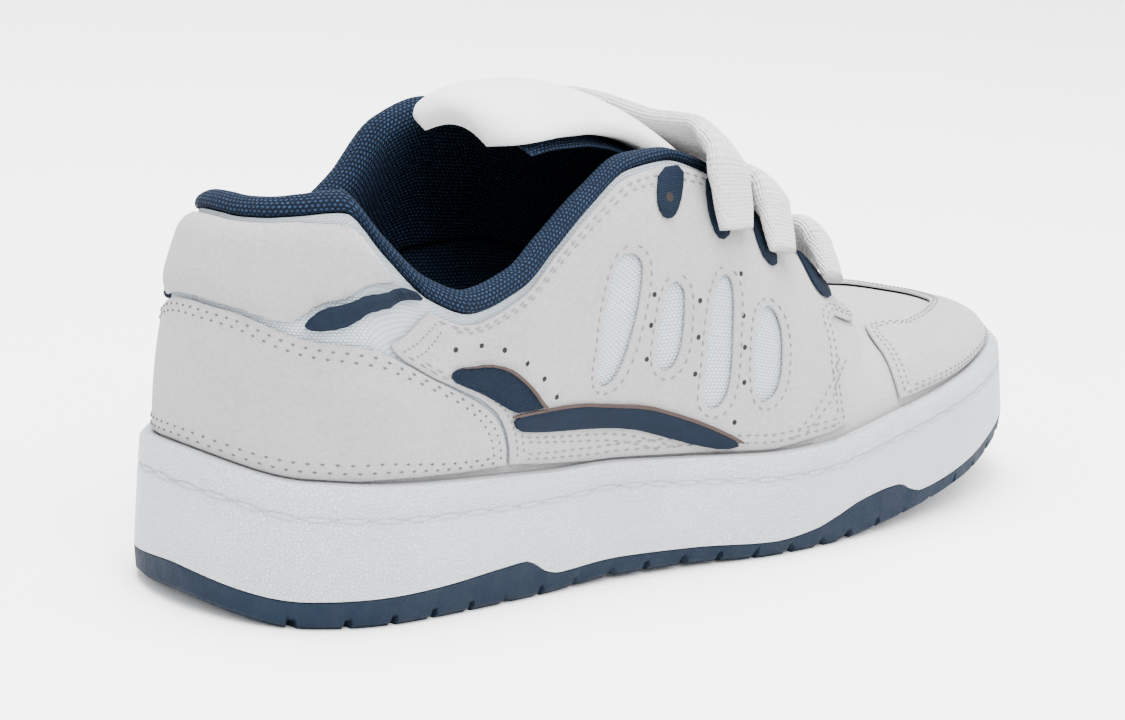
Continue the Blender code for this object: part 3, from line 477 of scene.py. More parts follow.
TOE_CAP_EDGE = (
    (0.685, 0.010), (0.681, 0.150), (0.681, 0.290), (0.682, 0.480), (0.692, 0.580), (0.712, 0.600),
    (0.745, 0.590), (0.800, 0.600), (0.870, 0.640), (0.940, 0.680),
)
WINDOWS = (
    ((0.402, 0.73), (0.416, 0.68), (0.412, 0.59), (0.400, 0.45), (0.388, 0.34), (0.378, 0.29), (0.366, 0.28),
     (0.361, 0.34), (0.370, 0.51), (0.384, 0.65), (0.392, 0.72)),
    ((0.442, 0.59), (0.451, 0.56), (0.448, 0.48), (0.442, 0.37), (0.434, 0.30), (0.422, 0.28), (0.416, 0.33),
     (0.424, 0.46), (0.432, 0.55)),
    ((0.496, 0.62), (0.503, 0.58), (0.494, 0.41), (0.486, 0.24), (0.478, 0.17), (0.466, 0.14), (0.456, 0.17),
     (0.461, 0.27), (0.470, 0.44), (0.482, 0.56)),
    ((0.532, 0.54), (0.543, 0.53), (0.548, 0.47), (0.544, 0.34), (0.538, 0.24), (0.528, 0.19), (0.516, 0.17),
     (0.510, 0.21), (0.512, 0.32), (0.520, 0.47)),
)
STRIPE_EDGE = (
    (0.270, 0.300), (0.300, 0.292), (0.340, 0.250), (0.372, 0.205), (0.404, 0.175), (0.438, 0.125),
    (0.462, 0.085), (0.494, 0.030), (0.474, 0.014), (0.448, 0.035), (0.414, 0.080), (0.392, 0.112),
    (0.344, 0.150), (0.294, 0.200), (0.275, 0.225),
)
PATCH_EDGE = (
    (0.215, 0.530), (0.219, 0.595), (0.230, 0.640), (0.250, 0.648), (0.268, 0.590), (0.282, 0.505),
    (0.292, 0.425), (0.300, 0.345), (0.306, 0.308), (0.284, 0.318), (0.272, 0.328), (0.258, 0.395),
    (0.246, 0.455), (0.234, 0.500),
)
LOOPS = (
    ((0.446, 0.970), (0.436, 0.870), (0.438, 0.810), (0.445, 0.790),
     (0.454, 0.810), (0.464, 0.870), (0.474, 0.970)),
    ((0.500, 0.970), (0.490, 0.860), (0.489, 0.760), (0.496, 0.720),
     (0.508, 0.760), (0.514, 0.860), (0.520, 0.970)),
    ((0.548, 0.970), (0.538, 0.860), (0.536, 0.740), (0.546, 0.695),
     (0.560, 0.740), (0.566, 0.860), (0.572, 0.970)),
    ((0.618, 0.970), (0.608, 0.860), (0.605, 0.710), (0.616, 0.660),
     (0.632, 0.710), (0.640, 0.860), (0.646, 0.970)),
)

# Lace bars: the place of the slot round the shoe, and the middle of the bar over the tongue
LACE_BARS = (
    # slot, along of LENGTH, lift over the tongue mm, width of LACE_WIDTH
    (0.504, 0.535, 2.6, 1.15),
    (0.554, 0.618, 2.8, 1.00),
    (0.625, 0.705, 3.4, 0.82),
)


def around_loop(turns):
    """All places round the shoe for the sampled shares: up the outer side, back down the inner."""
    turns = list(turns)
    return np.array(turns + [2 - t for t in turns[-2:0:-1]])


def bridge(faces, low, high, count):
    """Quads between two rings that start at the vertex numbers low and high."""
    for i in range(count):
        j = (i + 1) % count
        faces.append((low + i, low + j, high + j, high + i))


def ladder(faces, start, count):
    """Close a ring with rungs from each side to the other."""
    half = count // 2
    faces.append((start, start + 1, start + count - 1))
    for i in range(1, half - 1):
        a, b = start + i, start + i + 1
        c, d = start + count - i - 1, start + count - i
        faces.append((a, b, c))
        faces.append((a, c, d))
    faces.append((start + half - 1, start + half, start + half + 1))


def loft(rings):
    """Closed solid through rings of equal count, its ends closed with ladders."""
    count = len(rings[0])
    faces = []
    for k in range(len(rings) - 1):
        bridge(faces, k * count, (k + 1) * count, count)
    ladder(faces, 0, count)
    ladder(faces, (len(rings) - 1) * count, count)
    return np.vstack(rings), faces


def outsole_wall(around):
    """Height of the outsole's upper edge."""
    share = fold(around)[0]
    return RIM_HEIGHT * listed(OUTSOLE_EDGE, 1, share)


def tread_turns():
    """Round shares at the corners of each tread groove, with the groove depth there."""
    shares = np.linspace(0, 1, 801)
    along = sole_edge(shares)[0][:, 0]
    turns = []
    for k in range(1, int(LENGTH / TREAD_PITCH)):
        for offset, deep in ((-0.62, 0.0), (-0.38, 1.0), (0.38, 1.0), (0.62, 0.0)):
            place = k * TREAD_PITCH + offset * TREAD_WIDTH
            turns.append((float(np.interp(place, along, shares)), deep * TREAD_DEPTH))
    return turns


CLOSEST = 0.0012


def outsole_solid():
    """The tread unit: a grooved underside, a bevel, the waved wall and the plate under the cup."""
    grooves = tread_turns()
    fine = sorted(set(TURNS) | set(t for t, _ in grooves))
    kept = [fine[0]]
    for t in fine[1:]:
        if t - kept[-1] > CLOSEST or t in TURNS:
            if t in TURNS and t - kept[-1] <= CLOSEST and kept[-1] not in TURNS:
                kept.pop()
            kept.append(t)
    dense = around_loop(kept)
    base = around_loop(TURNS)
    deep = np.interp(fold(dense)[0], [g[0] for g in grooves], [g[1] for g in grooves])
    rings = [
        sole_point(dense, 2.6 * MM, deep),
        sole_point(dense, 0.7 * MM, 1.7 * MM + 0.8 * deep),
        sole_point(base, 0.0, outsole_wall(base)),
        sole_point(base, 7 * MM, PLATE),
    ]
    n, m = len(dense), len(base)
    faces = []
    ladder(faces, 0, n)
    bridge(faces, 0, n, n)
    where = [int(np.argmin(np.abs(dense - b))) for b in base]
    top = 2 * n
    for i in range(m):
        j = (i + 1) % m
        first, last = where[i], where[j] if j else n
        middle = (first + last) // 2
        for k in range(first, last):
            faces.append((n + k, n + (k + 1) % n, top + (i if k < middle else j)))
        faces.append((top + i, n + middle % n, top + j))
    bridge(faces, top, top + m, m)
    ladder(faces, top + m, m)
    return np.vstack(rings), faces


def midsole_rings(around):
    """The cup from its plate up the wall, over the rim and down to the floor inside."""
    rim = cup(around, 1)
    drop = RIM_HEIGHT * column(CUP_HEIGHTS, 3, fold(around)[0])
    floor = cup(around, 4)
    return [
        sole_point(around, 7 * MM, PLATE + GAP),
        sole_point(around, 0.0, outsole_wall(around) + GAP),
        sole_point(around, 0.0, rim - drop - GROOVE_WIDTH),
        sole_point(around, GROOVE_DEPTH, rim - drop - GROOVE_WIDTH / 2),
        sole_point(around, 0.0, rim - drop),
        sole_point(around, 0.2 * MM, rim - 1.2 * MM),
        sole_point(around, 1.2 * MM, rim),
        sole_point(around, RIM_WALL - 0.6 * MM, rim),
        sole_point(around, RIM_WALL, rim - 0.6 * MM),
        sole_point(around, RIM_WALL, floor),
    ]


def insole_rings(around):
    """The footbed with rounded edges, a little hollow in the middle."""
    floor = cup(around, 4) + GAP
    edge = RIM_WALL + UPPER_WALL + 3 * GAP
    return [
        sole_point(around, edge + 0.5 * MM, floor),
        sole_point(around, edge, floor + 0.8 * MM),
        sole_point(around, edge, floor + INSOLE_THICK - 0.8 * MM),
        sole_point(around, edge + 0.8 * MM, floor + INSOLE_THICK),
        sole_point(around, edge + 12 * MM, floor + INSOLE_THICK - 0.5 * MM),
    ]


def upper_solid(turns, outer_rows, inner_rows):
    """The hollow upper, open at the collar, down the throat and underneath."""
    around = around_loop(turns)
    count = len(around)
    half = count // 2
    closed = fold(around)[0] >= THROAT_END - 1e-9
    rings = [on_upper(around, v) for v in outer_rows]
    inside = [on_upper(around, v, -UPPER_WALL) for v in inner_rows]
    for ring in (rings[-1], inside[-1]):
        for i in range(1, half):
            if closed[i]:
                ring[i] = ring[count - i] = (ring[i] + ring[count - i]) / 2
    faces = []
    outer_count, inner_count = len(rings), len(inside)
    for k in range(outer_count - 1):
        bridge(faces, k * count, (k + 1) * count, count)
    start = outer_count * count
    for k in range(inner_count - 1):
        bridge(faces, start + k * count, start + (k + 1) * count, count)
    bridge(faces, 0, start, count)
    rim, under = (outer_count - 1) * count, start + (inner_count - 1) * count
    for i in range(count):
        j = (i + 1) % count
        if not (closed[i] and closed[j]):
            faces.append((rim + i, rim + j, under + j, under + i))
    return np.vstack(rings + inside), faces


def tongue_sections(stations, drop, thick_of, side_gap, points):
    """Rounded sections down the tongue, lowered by drop below its middle line."""
    rings = []
    for along in stations:
        x = along * LENGTH
        height, half, thick = [listed(TONGUE, i, along) for i in (1, 2, 3)]
        ahead = [float(listed(TONGUE, 1, along + d)) for d in (-0.01, 0.01)]
        slope = math.atan2((ahead[1] - ahead[0]) * INSTEP_HEIGHT, 0.02 * LENGTH)
        normal = np.array([-math.sin(slope), 0.0, math.cos(slope)])
        half = half * BALL_WIDTH / 2 - side_gap
        full = thick * TONGUE_THICK
        body = thick_of if thick_of else full
        ring = []
        for k in range(points):
            turn = math.pi - 2 * math.pi * k / points
            y = half * math.cos(turn)
            rise = math.sin(turn)
            rise = math.copysign(abs(rise) ** 0.6, rise)
            lift = rise * body / 2 - drop - (full / 2 + body / 2 if thick_of else 0)
            z = height * INSTEP_HEIGHT - TONGUE_DROP * (y / TONGUE_DROP_AT) ** 2
            ring.append(np.array([x, float(swing(x)) + y, z]) + normal * lift)
        rings.append(np.array(ring))
    return rings


def rib_walk(around, steps=48):
    """Shares up the rib and the length of rib left from each of them to the top line."""
    shares = np.linspace(0, 1, steps + 1)
    points = last_point(np.full(steps + 1, around), shares)
    length = np.append(0, np.cumsum(np.linalg.norm(np.diff(points, axis=0), axis=1)))
    return shares, length - length[-1]


def roll_section(around, thin):
    """One section of the collar padding."""
    shares, runs = rib_walk(around)
    top = on_upper(around, 1.0)[0]
    rise = top - on_upper(around, 0.97)[0]
    rise /= np.linalg.norm(rise)
    ring = []
    for run, lift in COLLAR_ROLL:
        if lift < -3.1:
            lift = -3.1 + (lift + 3.1) * thin
        if run <= 0:
            ring.append(on_upper(around, float(np.interp(run * MM, runs, shares)), lift * MM)[0])
        else:
            ring.append(top + rise * run * MM * (0.5 + 0.5 * thin) + last_normal(around, 1.0)[0] * lift * MM)
    return np.array(ring)


def collar_rings(stations):
    """Sections of the collar padding, thinner towards the throat."""
    return [roll_section(a, 1 - 0.6 * float(smooth(0.34, 0.50, abs(a)))) for a in stations]


def lace_path(slot, along, lift):
    """Middle line of a lace bar from the outer slot over the tongue to the inner slot."""
    x = along * LENGTH
    height, thick = [float(listed(TONGUE, i, along)) for i in (1, 3)]
    z = height * INSTEP_HEIGHT + thick * TONGUE_THICK / 2 + lift * MM
    middle = np.array([x, float(swing(x)), z + 0.5 * LACE_THICK])
    over = TRIM_TOP + GAP + 0.5 * LACE_THICK
    ends = []
    for place in (slot, 2 - slot):
        ends.append([on_upper(place, 0.76, over - 1.2 * MM)[0], on_upper(place, 0.90, over + 0.6 * MM)[0],
                     on_upper(place, 1.0, over + 1.6 * MM)[0]])
    near, far = ends
    bow = np.array([0.30, 0.58, 0.30])
    rise = np.array([0, 0, 1.5 * MM])
    shoulders = [middle + (end[2] - middle) * bow + rise for end in ends]
    return np.array(near + [shoulders[0], middle, shoulders[1]] + far[::-1])


def lace_rings(slot, along, lift, wide_share, steps, points):
    """Flat rounded sections of a lace bar, thinner towards its ends."""
    line = lace_path(slot, along, lift)
    at = np.linspace(0, len(line) - 1, steps)
    knots = np.arange(len(line))
    centre = np.stack([fair(knots, line[:, i], at) for i in range(3)], axis=1)
    forward = np.gradient(centre, axis=0)
    forward /= np.linalg.norm(forward, axis=1)[:, None]
    rings = []
    for place, run, s in zip(centre, forward, np.linspace(-1, 1, steps)):
        slope = np.array([0.78, 0.0, -0.62])
        wide = slope - run * np.dot(slope, run)
        wide /= np.linalg.norm(wide)
        thin = np.cross(run, wide)
        swell = wide_share * (1 - 0.28 * abs(s) ** 3)
        flat = 1 - 0.40 * abs(s) ** 3
        ring = []
        for k in range(points):
            turn = 2 * math.pi * k / points
            c, r = math.cos(turn), math.sin(turn)
            ring.append(place + wide * c * LACE_WIDTH / 2 * swell
                        + thin * math.copysign(abs(r) ** 0.7, r) * LACE_THICK / 2 * flat)
        rings.append(np.array(ring))
    return rings


# What one unit of around and of up is worth on the upper
AROUND_SIZE = 340 * MM
UP_SIZE = 85 * MM

# Soft creases of the upper: around, up, reach around, reach up, turn in degrees, depth mm
CREASES = (
    # around, up, long, wide, turn, depth
    (0.655, 0.420, 0.040, 0.050, 62, -0.9),
    (0.638, 0.360, 0.045, 0.045, 66, 0.7),
    (0.700, 0.520, 0.035, 0.045, 55, -0.6),
    (0.585, 0.340, 0.040, 0.050, 70, -0.6),
    (0.320, 0.560, 0.050, 0.070, 20, -0.8),
    (0.345, 0.440, 0.050, 0.060, 25, 0.6),
    (0.240, 0.700, 0.030, 0.080, 5, -0.5),
    (0.130, 0.300, 0.050, 0.080, 10, 0.5),
    (0.780, 0.750, 0.050, 0.060, 30, -0.5),
    (0.860, 0.450, 0.060, 0.080, 15, 0.4),
)


def crease(around, up):
    """Soft rise or dip of everything that lies on the upper, the same for each layer."""
    around = np.asarray(around, float)
    up = np.asarray(up, float)
    total = np.zeros(np.broadcast(around, up).shape)
    for place, level, long, wide, turn, depth in CREASES:
        c, s = math.cos(math.radians(turn)), math.sin(math.radians(turn))
        for side in (place, 2 - place):
            x = (around - side) * AROUND_SIZE * (1 if side < 1 else -1)
            y = (up - level) * UP_SIZE
            along = (x * c + y * s) / (long * AROUND_SIZE)
            across = (-x * s + y * c) / (wide * UP_SIZE)
            total = total + depth * MM * np.exp(-along ** 2 - across ** 2)
    return total * smooth(0.02, 0.15, up) * (1 - smooth(0.85, 0.98, up))


def dense_outline(outline, step_around, step_up):
    """The outline with points added so that no step is longer than asked."""
    points = []
    for (a0, u0), (a1, u1) in zip(outline, list(outline[1:]) + [outline[0]]):
        pieces = max(1, math.ceil(max(abs(a1 - a0) / step_around, abs(u1 - u0) / step_up) - 1e-9))
        for k in range(pieces):
            points.append((a0 + (a1 - a0) * k / pieces, u0 + (u1 - u0) * k / pieces))
    return points


def inside(outline, a, u):
    """Which of the places lie inside the outline."""
    a, u = np.asarray(a, float), np.asarray(u, float)
    hit = np.zeros(a.shape, bool)
    for (a0, u0), (a1, u1) in zip(outline, list(outline[1:]) + [outline[0]]):
        if u0 != u1:
            hit ^= ((u0 > u) != (u1 > u)) & (a < (a1 - a0) * (u - u0) / (u1 - u0) + a0)
    return hit


def edge_distance(outlines, points):
    """Rough distance on the upper from each point to the nearest outline."""
    points = np.asarray(points, float) * (AROUND_SIZE, UP_SIZE)
    best = np.full(len(points), 1.0)
    for outline in outlines:
        start = np.asarray(outline, float) * (AROUND_SIZE, UP_SIZE)
        run = np.roll(start, -1, axis=0) - start
        square = np.maximum((run ** 2).sum(axis=1), 1e-18)
        s = np.clip(((points[:, None] - start) * run).sum(axis=2) / square, 0, 1)
        gap = np.linalg.norm(points[:, None] - start - s[:, :, None] * run, axis=2)
        best = np.minimum(best, gap.min(axis=1))
    return best


def rounded(outline, rounds=2):
    """The outline with its corners softened."""
    points = [tuple(p) for p in outline]
    for _ in range(rounds):
        cut = []
        for (a0, u0), (a1, u1) in zip(points, points[1:] + points[:1]):
            cut.append((a0 * 0.75 + a1 * 0.25, u0 * 0.75 + u1 * 0.25))
            cut.append((a0 * 0.25 + a1 * 0.75, u0 * 0.25 + u1 * 0.75))
        points = cut
    return points


# Triangulation works in a larger unit; an overlay's edge is rounded and its middle may be puffed
ENLARGED = 100
EDGE_REACH = 1.6 * MM
PUFF_REACH = 9 * MM


def patch_parts(outline, holes, low, high, puff, step):
    """Overlay cut from the upper's own surface: points, faces, chart places and depth from the edge."""
    loops = [dense_outline(o, step / AROUND_SIZE, step / UP_SIZE) for o in [outline] + list(holes)]
    flat = [p for loop in loops for p in loop]
    edges = []
    start = 0
    for loop in loops:
        edges += [(start + k, start + (k + 1) % len(loop)) for k in range(len(loop))]
        start += len(loop)
    wide = np.array(loops[0])
    low_a, low_u = wide.min(axis=0)
    high_a, high_u = wide.max(axis=0)
    a, u = np.meshgrid(
        np.arange(low_a, high_a, step / AROUND_SIZE), np.arange(low_u, high_u, step / UP_SIZE))
    a, u = a.ravel(), u.ravel()
    keep = inside(loops[0], a, u)
    for hole in loops[1:]:
        keep &= ~inside(hole, a, u)
    grid = np.column_stack([a[keep], u[keep]])
    far = edge_distance(loops, grid)
    flat += [tuple(g) for g in grid[far > 0.7 * step]]
    scaled = [Vector((x * AROUND_SIZE * ENLARGED, y * UP_SIZE * ENLARGED)) for x, y in flat]
    made, _, triangles, _, _, _ = delaunay_2d_cdt(scaled, edges, [], 0, 1e-6)
    chart = np.array([(v.x / (AROUND_SIZE * ENLARGED), v.y / (UP_SIZE * ENLARGED)) for v in made])
    triangles = np.array([t for t in triangles if len(t) == 3])
    middle = chart[triangles].mean(axis=1)
    keep = inside(loops[0], middle[:, 0], middle[:, 1])
    for hole in loops[1:]:
        keep &= ~inside(hole, middle[:, 0], middle[:, 1])
    kept = triangles[keep]
    depth = edge_distance(loops, chart)
    top = high + puff * np.sin(np.clip(depth / PUFF_REACH, 0, 1) * math.pi / 2)
    top = top - 0.45 * (high - low) * (1 - np.clip(depth / EDGE_REACH, 0, 1)) ** 2
    soft = crease(chart[:, 0], chart[:, 1])
    count = len(chart)
    points = np.vstack([on_upper(chart[:, 0], chart[:, 1], lift + soft) for lift in (low, top)])
    used = {}
    faces = []
    for x, y, z in kept.tolist():
        faces.append((x, z, y))
        faces.append((x + count, y + count, z + count))
        for pair in ((x, y), (y, z), (z, x)):
            used.setdefault(tuple(sorted(pair)), []).append(pair)
    for pairs in used.values():
        if len(pairs) == 1:
            x, y = pairs[0]
            faces.append((x, y, y + count, x + count))
    places = np.column_stack([chart[:, 0] * AROUND_SIZE, chart[:, 1] * UP_SIZE, depth])
    return points, faces, np.vstack([places, places])


def mirrored(edge, turn=2):
    """The outline on the inner side: mirrored past the toe, or past the heel with turn 0."""
    return tuple((turn - a, u) for a, u in reversed(edge))


def closed(edge, turn):
    """The listed half of an outline that crosses the heel or the toe, and its mirror."""
    return tuple(edge) + mirrored(edge, turn)


def solid(name, points, faces, places, material, replaced=None, merge=False, sharp=35):
    """Make a piece from points, faces and chart places, and let it ride in the frame."""
    if places is None:
        places = np.zeros((len(points), 3))
    mesh = bpy.data.meshes.new(name)
    mesh.from_pydata((np.asarray(points) - np.array(ORIGIN)).tolist(), [], [list(f) for f in faces])
    layer = mesh.attributes.new("chart", "FLOAT_VECTOR", "POINT")
    layer.data.foreach_set("vector", np.asarray(places, float).ravel())
    body = bmesh.new()
    body.from_mesh(mesh)
    if merge:
        bmesh.ops.remove_doubles(body, verts=body.verts, dist=1e-6)
    bmesh.ops.recalc_face_normals(body, faces=body.faces)
    body.to_mesh(mesh)
    body.free()
    mesh.materials.append(material)
    mesh.polygons.foreach_set("use_smooth", [True] * len(mesh.polygons))
    if sharp:
        mesh.set_sharp_from_angle(angle=math.radians(sharp))
    thing = bpy.data.objects.new(name, mesh)
    bpy.context.scene.collection.objects.link(thing)
    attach(thing, "root")
    if replaced:
        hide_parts(*replaced)
    return thing


def ring_places(rings):
    """Chart places of a loft: length along the rings, and across them."""
    places = []
    run = 0.0
    before = None
    for ring in rings:
        middle = ring.mean(axis=0)
        run += 0.0 if before is None else float(np.linalg.norm(middle - before))
        before = middle
        step = np.linalg.norm(np.diff(np.vstack([ring, ring[:1]]), axis=0), axis=1)
        around = np.append(0, np.cumsum(step))[:-1]
        places.append(np.column_stack([np.full(len(ring), run), around, np.zeros(len(ring))]))
    return np.vstack(places)


def finer_ring(ring, pieces):
    """Smooth closed curve through the points of a section."""
    count = len(ring)
    out = []
    for i in range(count):
        a, b, c, d = ring[i - 1], ring[i], ring[(i + 1) % count], ring[(i + 2) % count]
        for k in range(pieces):
            s = k / pieces
            out.append(0.5 * (2 * b + (c - a) * s + (2 * a - 5 * b + 4 * c - d) * s * s
                              + (3 * b - a - 3 * c + d) * s ** 3))
    return np.array(out)


def lofted(name, rings, look, node, sharp=35):
    """A piece lofted through rings in place of the solid of one node."""
    points, faces = loft(rings)
    return solid(name, points, faces, ring_places(rings), LOOKS[look], [node], sharp=sharp)


class Look:
    """A material with short calls for its nodes."""

    def __init__(self, name, rough=0.8, specular=0.4):
        self.material = bpy.data.materials.new(name)
        self.material.use_nodes = True
        self.nodes = self.material.node_tree.nodes
        self.links = self.material.node_tree.links
        self.shader = self.nodes["Principled BSDF"]
        self.shader.inputs["Roughness"].default_value = rough
        self.shader.inputs["Specular IOR Level"].default_value = specular

    def put(self, target, value):
        """Link a socket, or set a value."""
        if isinstance(value, bpy.types.NodeSocket):
            self.links.new(value, target)
        else:
            target.default_value = value

    def math(self, kind, a, b=0.0, c=0.0, clamp=False):
        node = self.nodes.new("ShaderNodeMath")
        node.operation = kind
        node.use_clamp = clamp
        for socket, value in zip(node.inputs, (a, b, c)):
            self.put(socket, value)
        return node.outputs[0]

    def node(self, kind, values):
        """A new node with the values of its named inputs."""
        made = self.nodes.new(kind)
        for name, value in values.items():
            self.put(made.inputs[name], value)
        return made

    def place(self):
        return self.nodes.new("ShaderNodeTexCoord").outputs["Object"]

    def chart(self):
        node = self.nodes.new("ShaderNodeAttribute")
        node.attribute_name = "chart"
        split = self.nodes.new("ShaderNodeSeparateXYZ")
        self.links.new(node.outputs["Vector"], split.inputs[0])
        return split.outputs[0], split.outputs[1], split.outputs[2]

    def noise(self, size, detail=3.0, rough=0.55, stretch=(1, 1, 1)):
        scale = self.node("ShaderNodeMapping", {"Scale": stretch, "Vector": self.place()})
        made = self.node("ShaderNodeTexNoise", {
            "Scale": 1 / size, "Detail": detail, "Roughness": rough, "Vector": scale.outputs[0]})
        return made.outputs["Fac"]

    def cells(self, size):
        made = self.node("ShaderNodeTexVoronoi", {"Scale": 1 / size, "Vector": self.place()})
        made.feature = "DISTANCE_TO_EDGE"
        return made.outputs["Distance"]

    def ramp(self, value, low, high, low_out=0.0, high_out=1.0):
        made = self.node("ShaderNodeMapRange", {
            "Value": value, "From Min": low, "From Max": high, "To Min": low_out, "To Max": high_out})
        made.interpolation_type = "SMOOTHSTEP"
        return made.outputs["Result"]

    def stitched(self, u, v, row_pitch, column_pitch):
        """Height of raised stitches in rows, each row half a stitch on."""
        row = self.math("DIVIDE", v, row_pitch)
        shift = self.math("MULTIPLY", self.math("FLOOR", row), 0.5)
        line = self.math("ADD", self.math("DIVIDE", u, column_pitch), shift)
        squares = []
        for value, share in ((line, 2.0), (row, 2.1)):
            away = self.math("ABSOLUTE", self.math("SUBTRACT", self.math("FRACT", value), 0.5))
            squares.append(self.math("POWER", self.math("MULTIPLY", away, share), 2.0))
        return self.ramp(self.math("ADD", *squares), 0.15, 1.05, 1.0, 0.0)

    def mix(self, factor, a, b):
        node = self.nodes.new("ShaderNodeMix")
        node.data_type = "RGBA"
        self.put(node.inputs["Factor"], factor)
        for socket, colour in ((node.inputs[6], a), (node.inputs[7], b)):
            self.put(socket, colour if isinstance(colour, bpy.types.NodeSocket) else (*colour, 1.0))
        return node.outputs[2]

    def colour(self, value):
        self.put(self.shader.inputs["Base Color"],
                 value if isinstance(value, bpy.types.NodeSocket) else (*value, 1.0))

    def bump(self, height, distance, strength=1.0, before=None):
        made = self.node("ShaderNodeBump", {"Distance": distance, "Strength": strength, "Height": height})
        if before is not None:
            self.links.new(before, made.inputs["Normal"])
        self.links.new(made.outputs[0], self.shader.inputs["Normal"])
        return made.outputs[0]


def suede(name, light, dark):
    """Brushed suede: fine nap and clouded colour."""
    look = Look(name, rough=0.96, specular=0.15)
    cloud = look.noise(16 * MM, 4)
    nap = look.noise(1.7 * MM, 6, 0.75, (1, 1, 1.8))
    fine = look.noise(0.5 * MM, 2)
    body = look.mix(look.ramp(cloud, 0.35, 0.65), light, dark)
    speck = look.ramp(nap, 0.30, 0.72, 0.90, 1.05)
    white = look.mix(look.math("SUBTRACT", 1.0, look.ramp(nap, 0.34, 0.62), clamp=True), light, dark)
    look.colour(look.mix(0.75, body, white))
    look.put(look.shader.inputs["Roughness"], look.math("MULTIPLY", speck, 0.92, clamp=True))
    look.shader.inputs["Sheen Weight"].default_value = 0.35
    look.shader.inputs["Sheen Roughness"].default_value = 0.5
    first = look.bump(nap, 1.5 * MM, 0.8)
    look.bump(fine, 0.4 * MM, 0.6, first)
    return look.material


def grained(name, colour, dirty, size, rough, depth):
    """Rubber or leather with a moulded leather grain, its depth in mm."""
    look = Look(name, rough=rough, specular=0.14 if sum(colour) < 0.3 else 0.40)
    grain = look.ramp(look.cells(size), 0.0, 0.16)
    tone = look.noise(30 * MM, 4)
    look.colour(look.mix(look.ramp(tone, 0.45, 0.80), colour, dirty))
    worn = look.ramp(look.noise(6 * MM, 4), 0.3, 0.7, rough - 0.06, rough + 0.08)
    look.put(look.shader.inputs["Roughness"], worn)
    first = look.bump(grain, depth * MM, 0.7)
    look.bump(look.noise(0.5 * MM, 3), 0.06 * MM, 0.4, first)
    return look.material


def knit(name, dark, light, pitch, depth, highlight_spread):
    """Open knit: rows of raised stitches, each row half a stitch on, with a painted highlight on their tops.
    """
    look = Look(name, rough=0.85, specular=0.10)
    u, v, _ = look.chart()
    height = look.stitched(u, v, pitch, pitch * 1.25)
    fibre = look.noise(0.4 * MM, 3)
    top = look.math("MULTIPLY", height, look.ramp(fibre, 0.25, 0.75, 0.35, 1.0))
    # Painted highlight: the raised stitch tops are mixed toward the light colour.
    body = look.mix(look.ramp(top, 0.30, 0.95, 0.0, highlight_spread), dark, light)
    look.colour(body)
    first = look.bump(height, depth, 0.9)
    look.bump(fibre, 0.08 * MM, 0.4, first)
    return look.material


def woven(name, colour, shade, pitch):
    """Soft flat lace: fine ribs along and across, with painted shade in the grooves between them."""
    look = Look(name, rough=0.92, specular=0.2)
    u, v, _ = look.chart()
    ribs, cross = [look.math("SINE", look.math("MULTIPLY", look.math(kind, u, v), 2 * math.pi / pitch))
                   for kind in ("ADD", "SUBTRACT")]
    height = look.math("MULTIPLY", ribs, cross)
    # Painted shade: the grooves between the ribs are mixed toward the shade colour, more strongly in some
    # places than others, following noise.
    groove_shade_strength = look.ramp(look.noise(9 * MM, 4), 0.3, 0.7, 0.25, 0.6)
    look.colour(look.mix(look.math("MULTIPLY", look.ramp(height, -1, 0.4, 1.0, 0.0), groove_shade_strength), colour, shade))
    look.shader.inputs["Sheen Weight"].default_value = 0.3
    first = look.bump(look.ramp(height, -1, 1), 0.6 * MM, 0.8)
    look.bump(look.noise(3.5 * MM, 5), 1.4 * MM, 0.8, first)
    return look.material


def plain(name, colour, rough):
    """A plain dull material with slight clouding."""
    look = Look(name, rough=rough, specular=0.12)
    tone = look.noise(3 * MM, 4)
    look.colour(look.mix(look.ramp(tone, 0.3, 0.7), colour, tuple(0.82 * c for c in colour)))
    look.bump(look.noise(0.5 * MM, 3), 0.08 * MM, 0.5)
    return look.material


# The materials: name, maker and what it asks for
LOOKS = {name: make(name, *values) for name, make, *values in (
    ("suede", suede, (0.345, 0.328, 0.330), (0.275, 0.262, 0.264)),
    ("cup", grained, (0.365, 0.378, 0.402), (0.335, 0.345, 0.368), 1.0 * MM, 0.50, 0.45),
    ("navy_rubber", grained, (0.0035, 0.0085, 0.0175), (0.0045, 0.0105, 0.0205), 1.2 * MM, 0.75, 0.08),
    # navy_mesh and patch_mesh: the second colour is the painted highlight on the stitch tops, and the last
    # number is how far the mix reaches toward it.
    ("navy_mesh", knit, (0.0012, 0.0035, 0.0095), (0.020, 0.045, 0.095), 1.05 * MM, 0.7 * MM, 0.75),
    ("patch_mesh", knit, (0.0025, 0.0060, 0.0130), (0.0080, 0.0170, 0.0340), 0.8 * MM, 0.2 * MM, 0.6),
    ("navy_leather", plain, (0.0030, 0.0070, 0.0150), 0.8),
    ("brown_edge", plain, (0.045, 0.032, 0.028), 0.8),
    ("tongue", grained, (0.60, 0.59, 0.59), (0.54, 0.53, 0.53), 1.0 * MM, 0.72, 0.08),
    # lace: the second colour is the painted shade in the grooves between the ribs.
    ("lace", woven, (0.46, 0.46, 0.45), (0.24, 0.24, 0.235), 2.0 * MM),
    ("thread", plain, (0.16, 0.155, 0.175), 0.8),
    ("dark_thread", plain, (0.085, 0.080, 0.095), 0.85),
    # hole: a dark colour painted where punched holes are, as the shade inside them.
    ("hole", plain, (0.020, 0.017, 0.016), 0.95),
    ("lining", plain, (0.003, 0.008, 0.017), 0.95),
)}


def overlay(name, outline, low, high, look, holes=(), puff=0.0, step=1.5 * MM, own=True):
    """An overlay in place of the node of that name, or one of the scene alone."""
    parts = patch_parts(rounded(outline, 1), [rounded(h) for h in holes], low, high, puff, step)
    return solid(name + "_fine" if own else name, *parts, LOOKS[look], [name] if own else None)


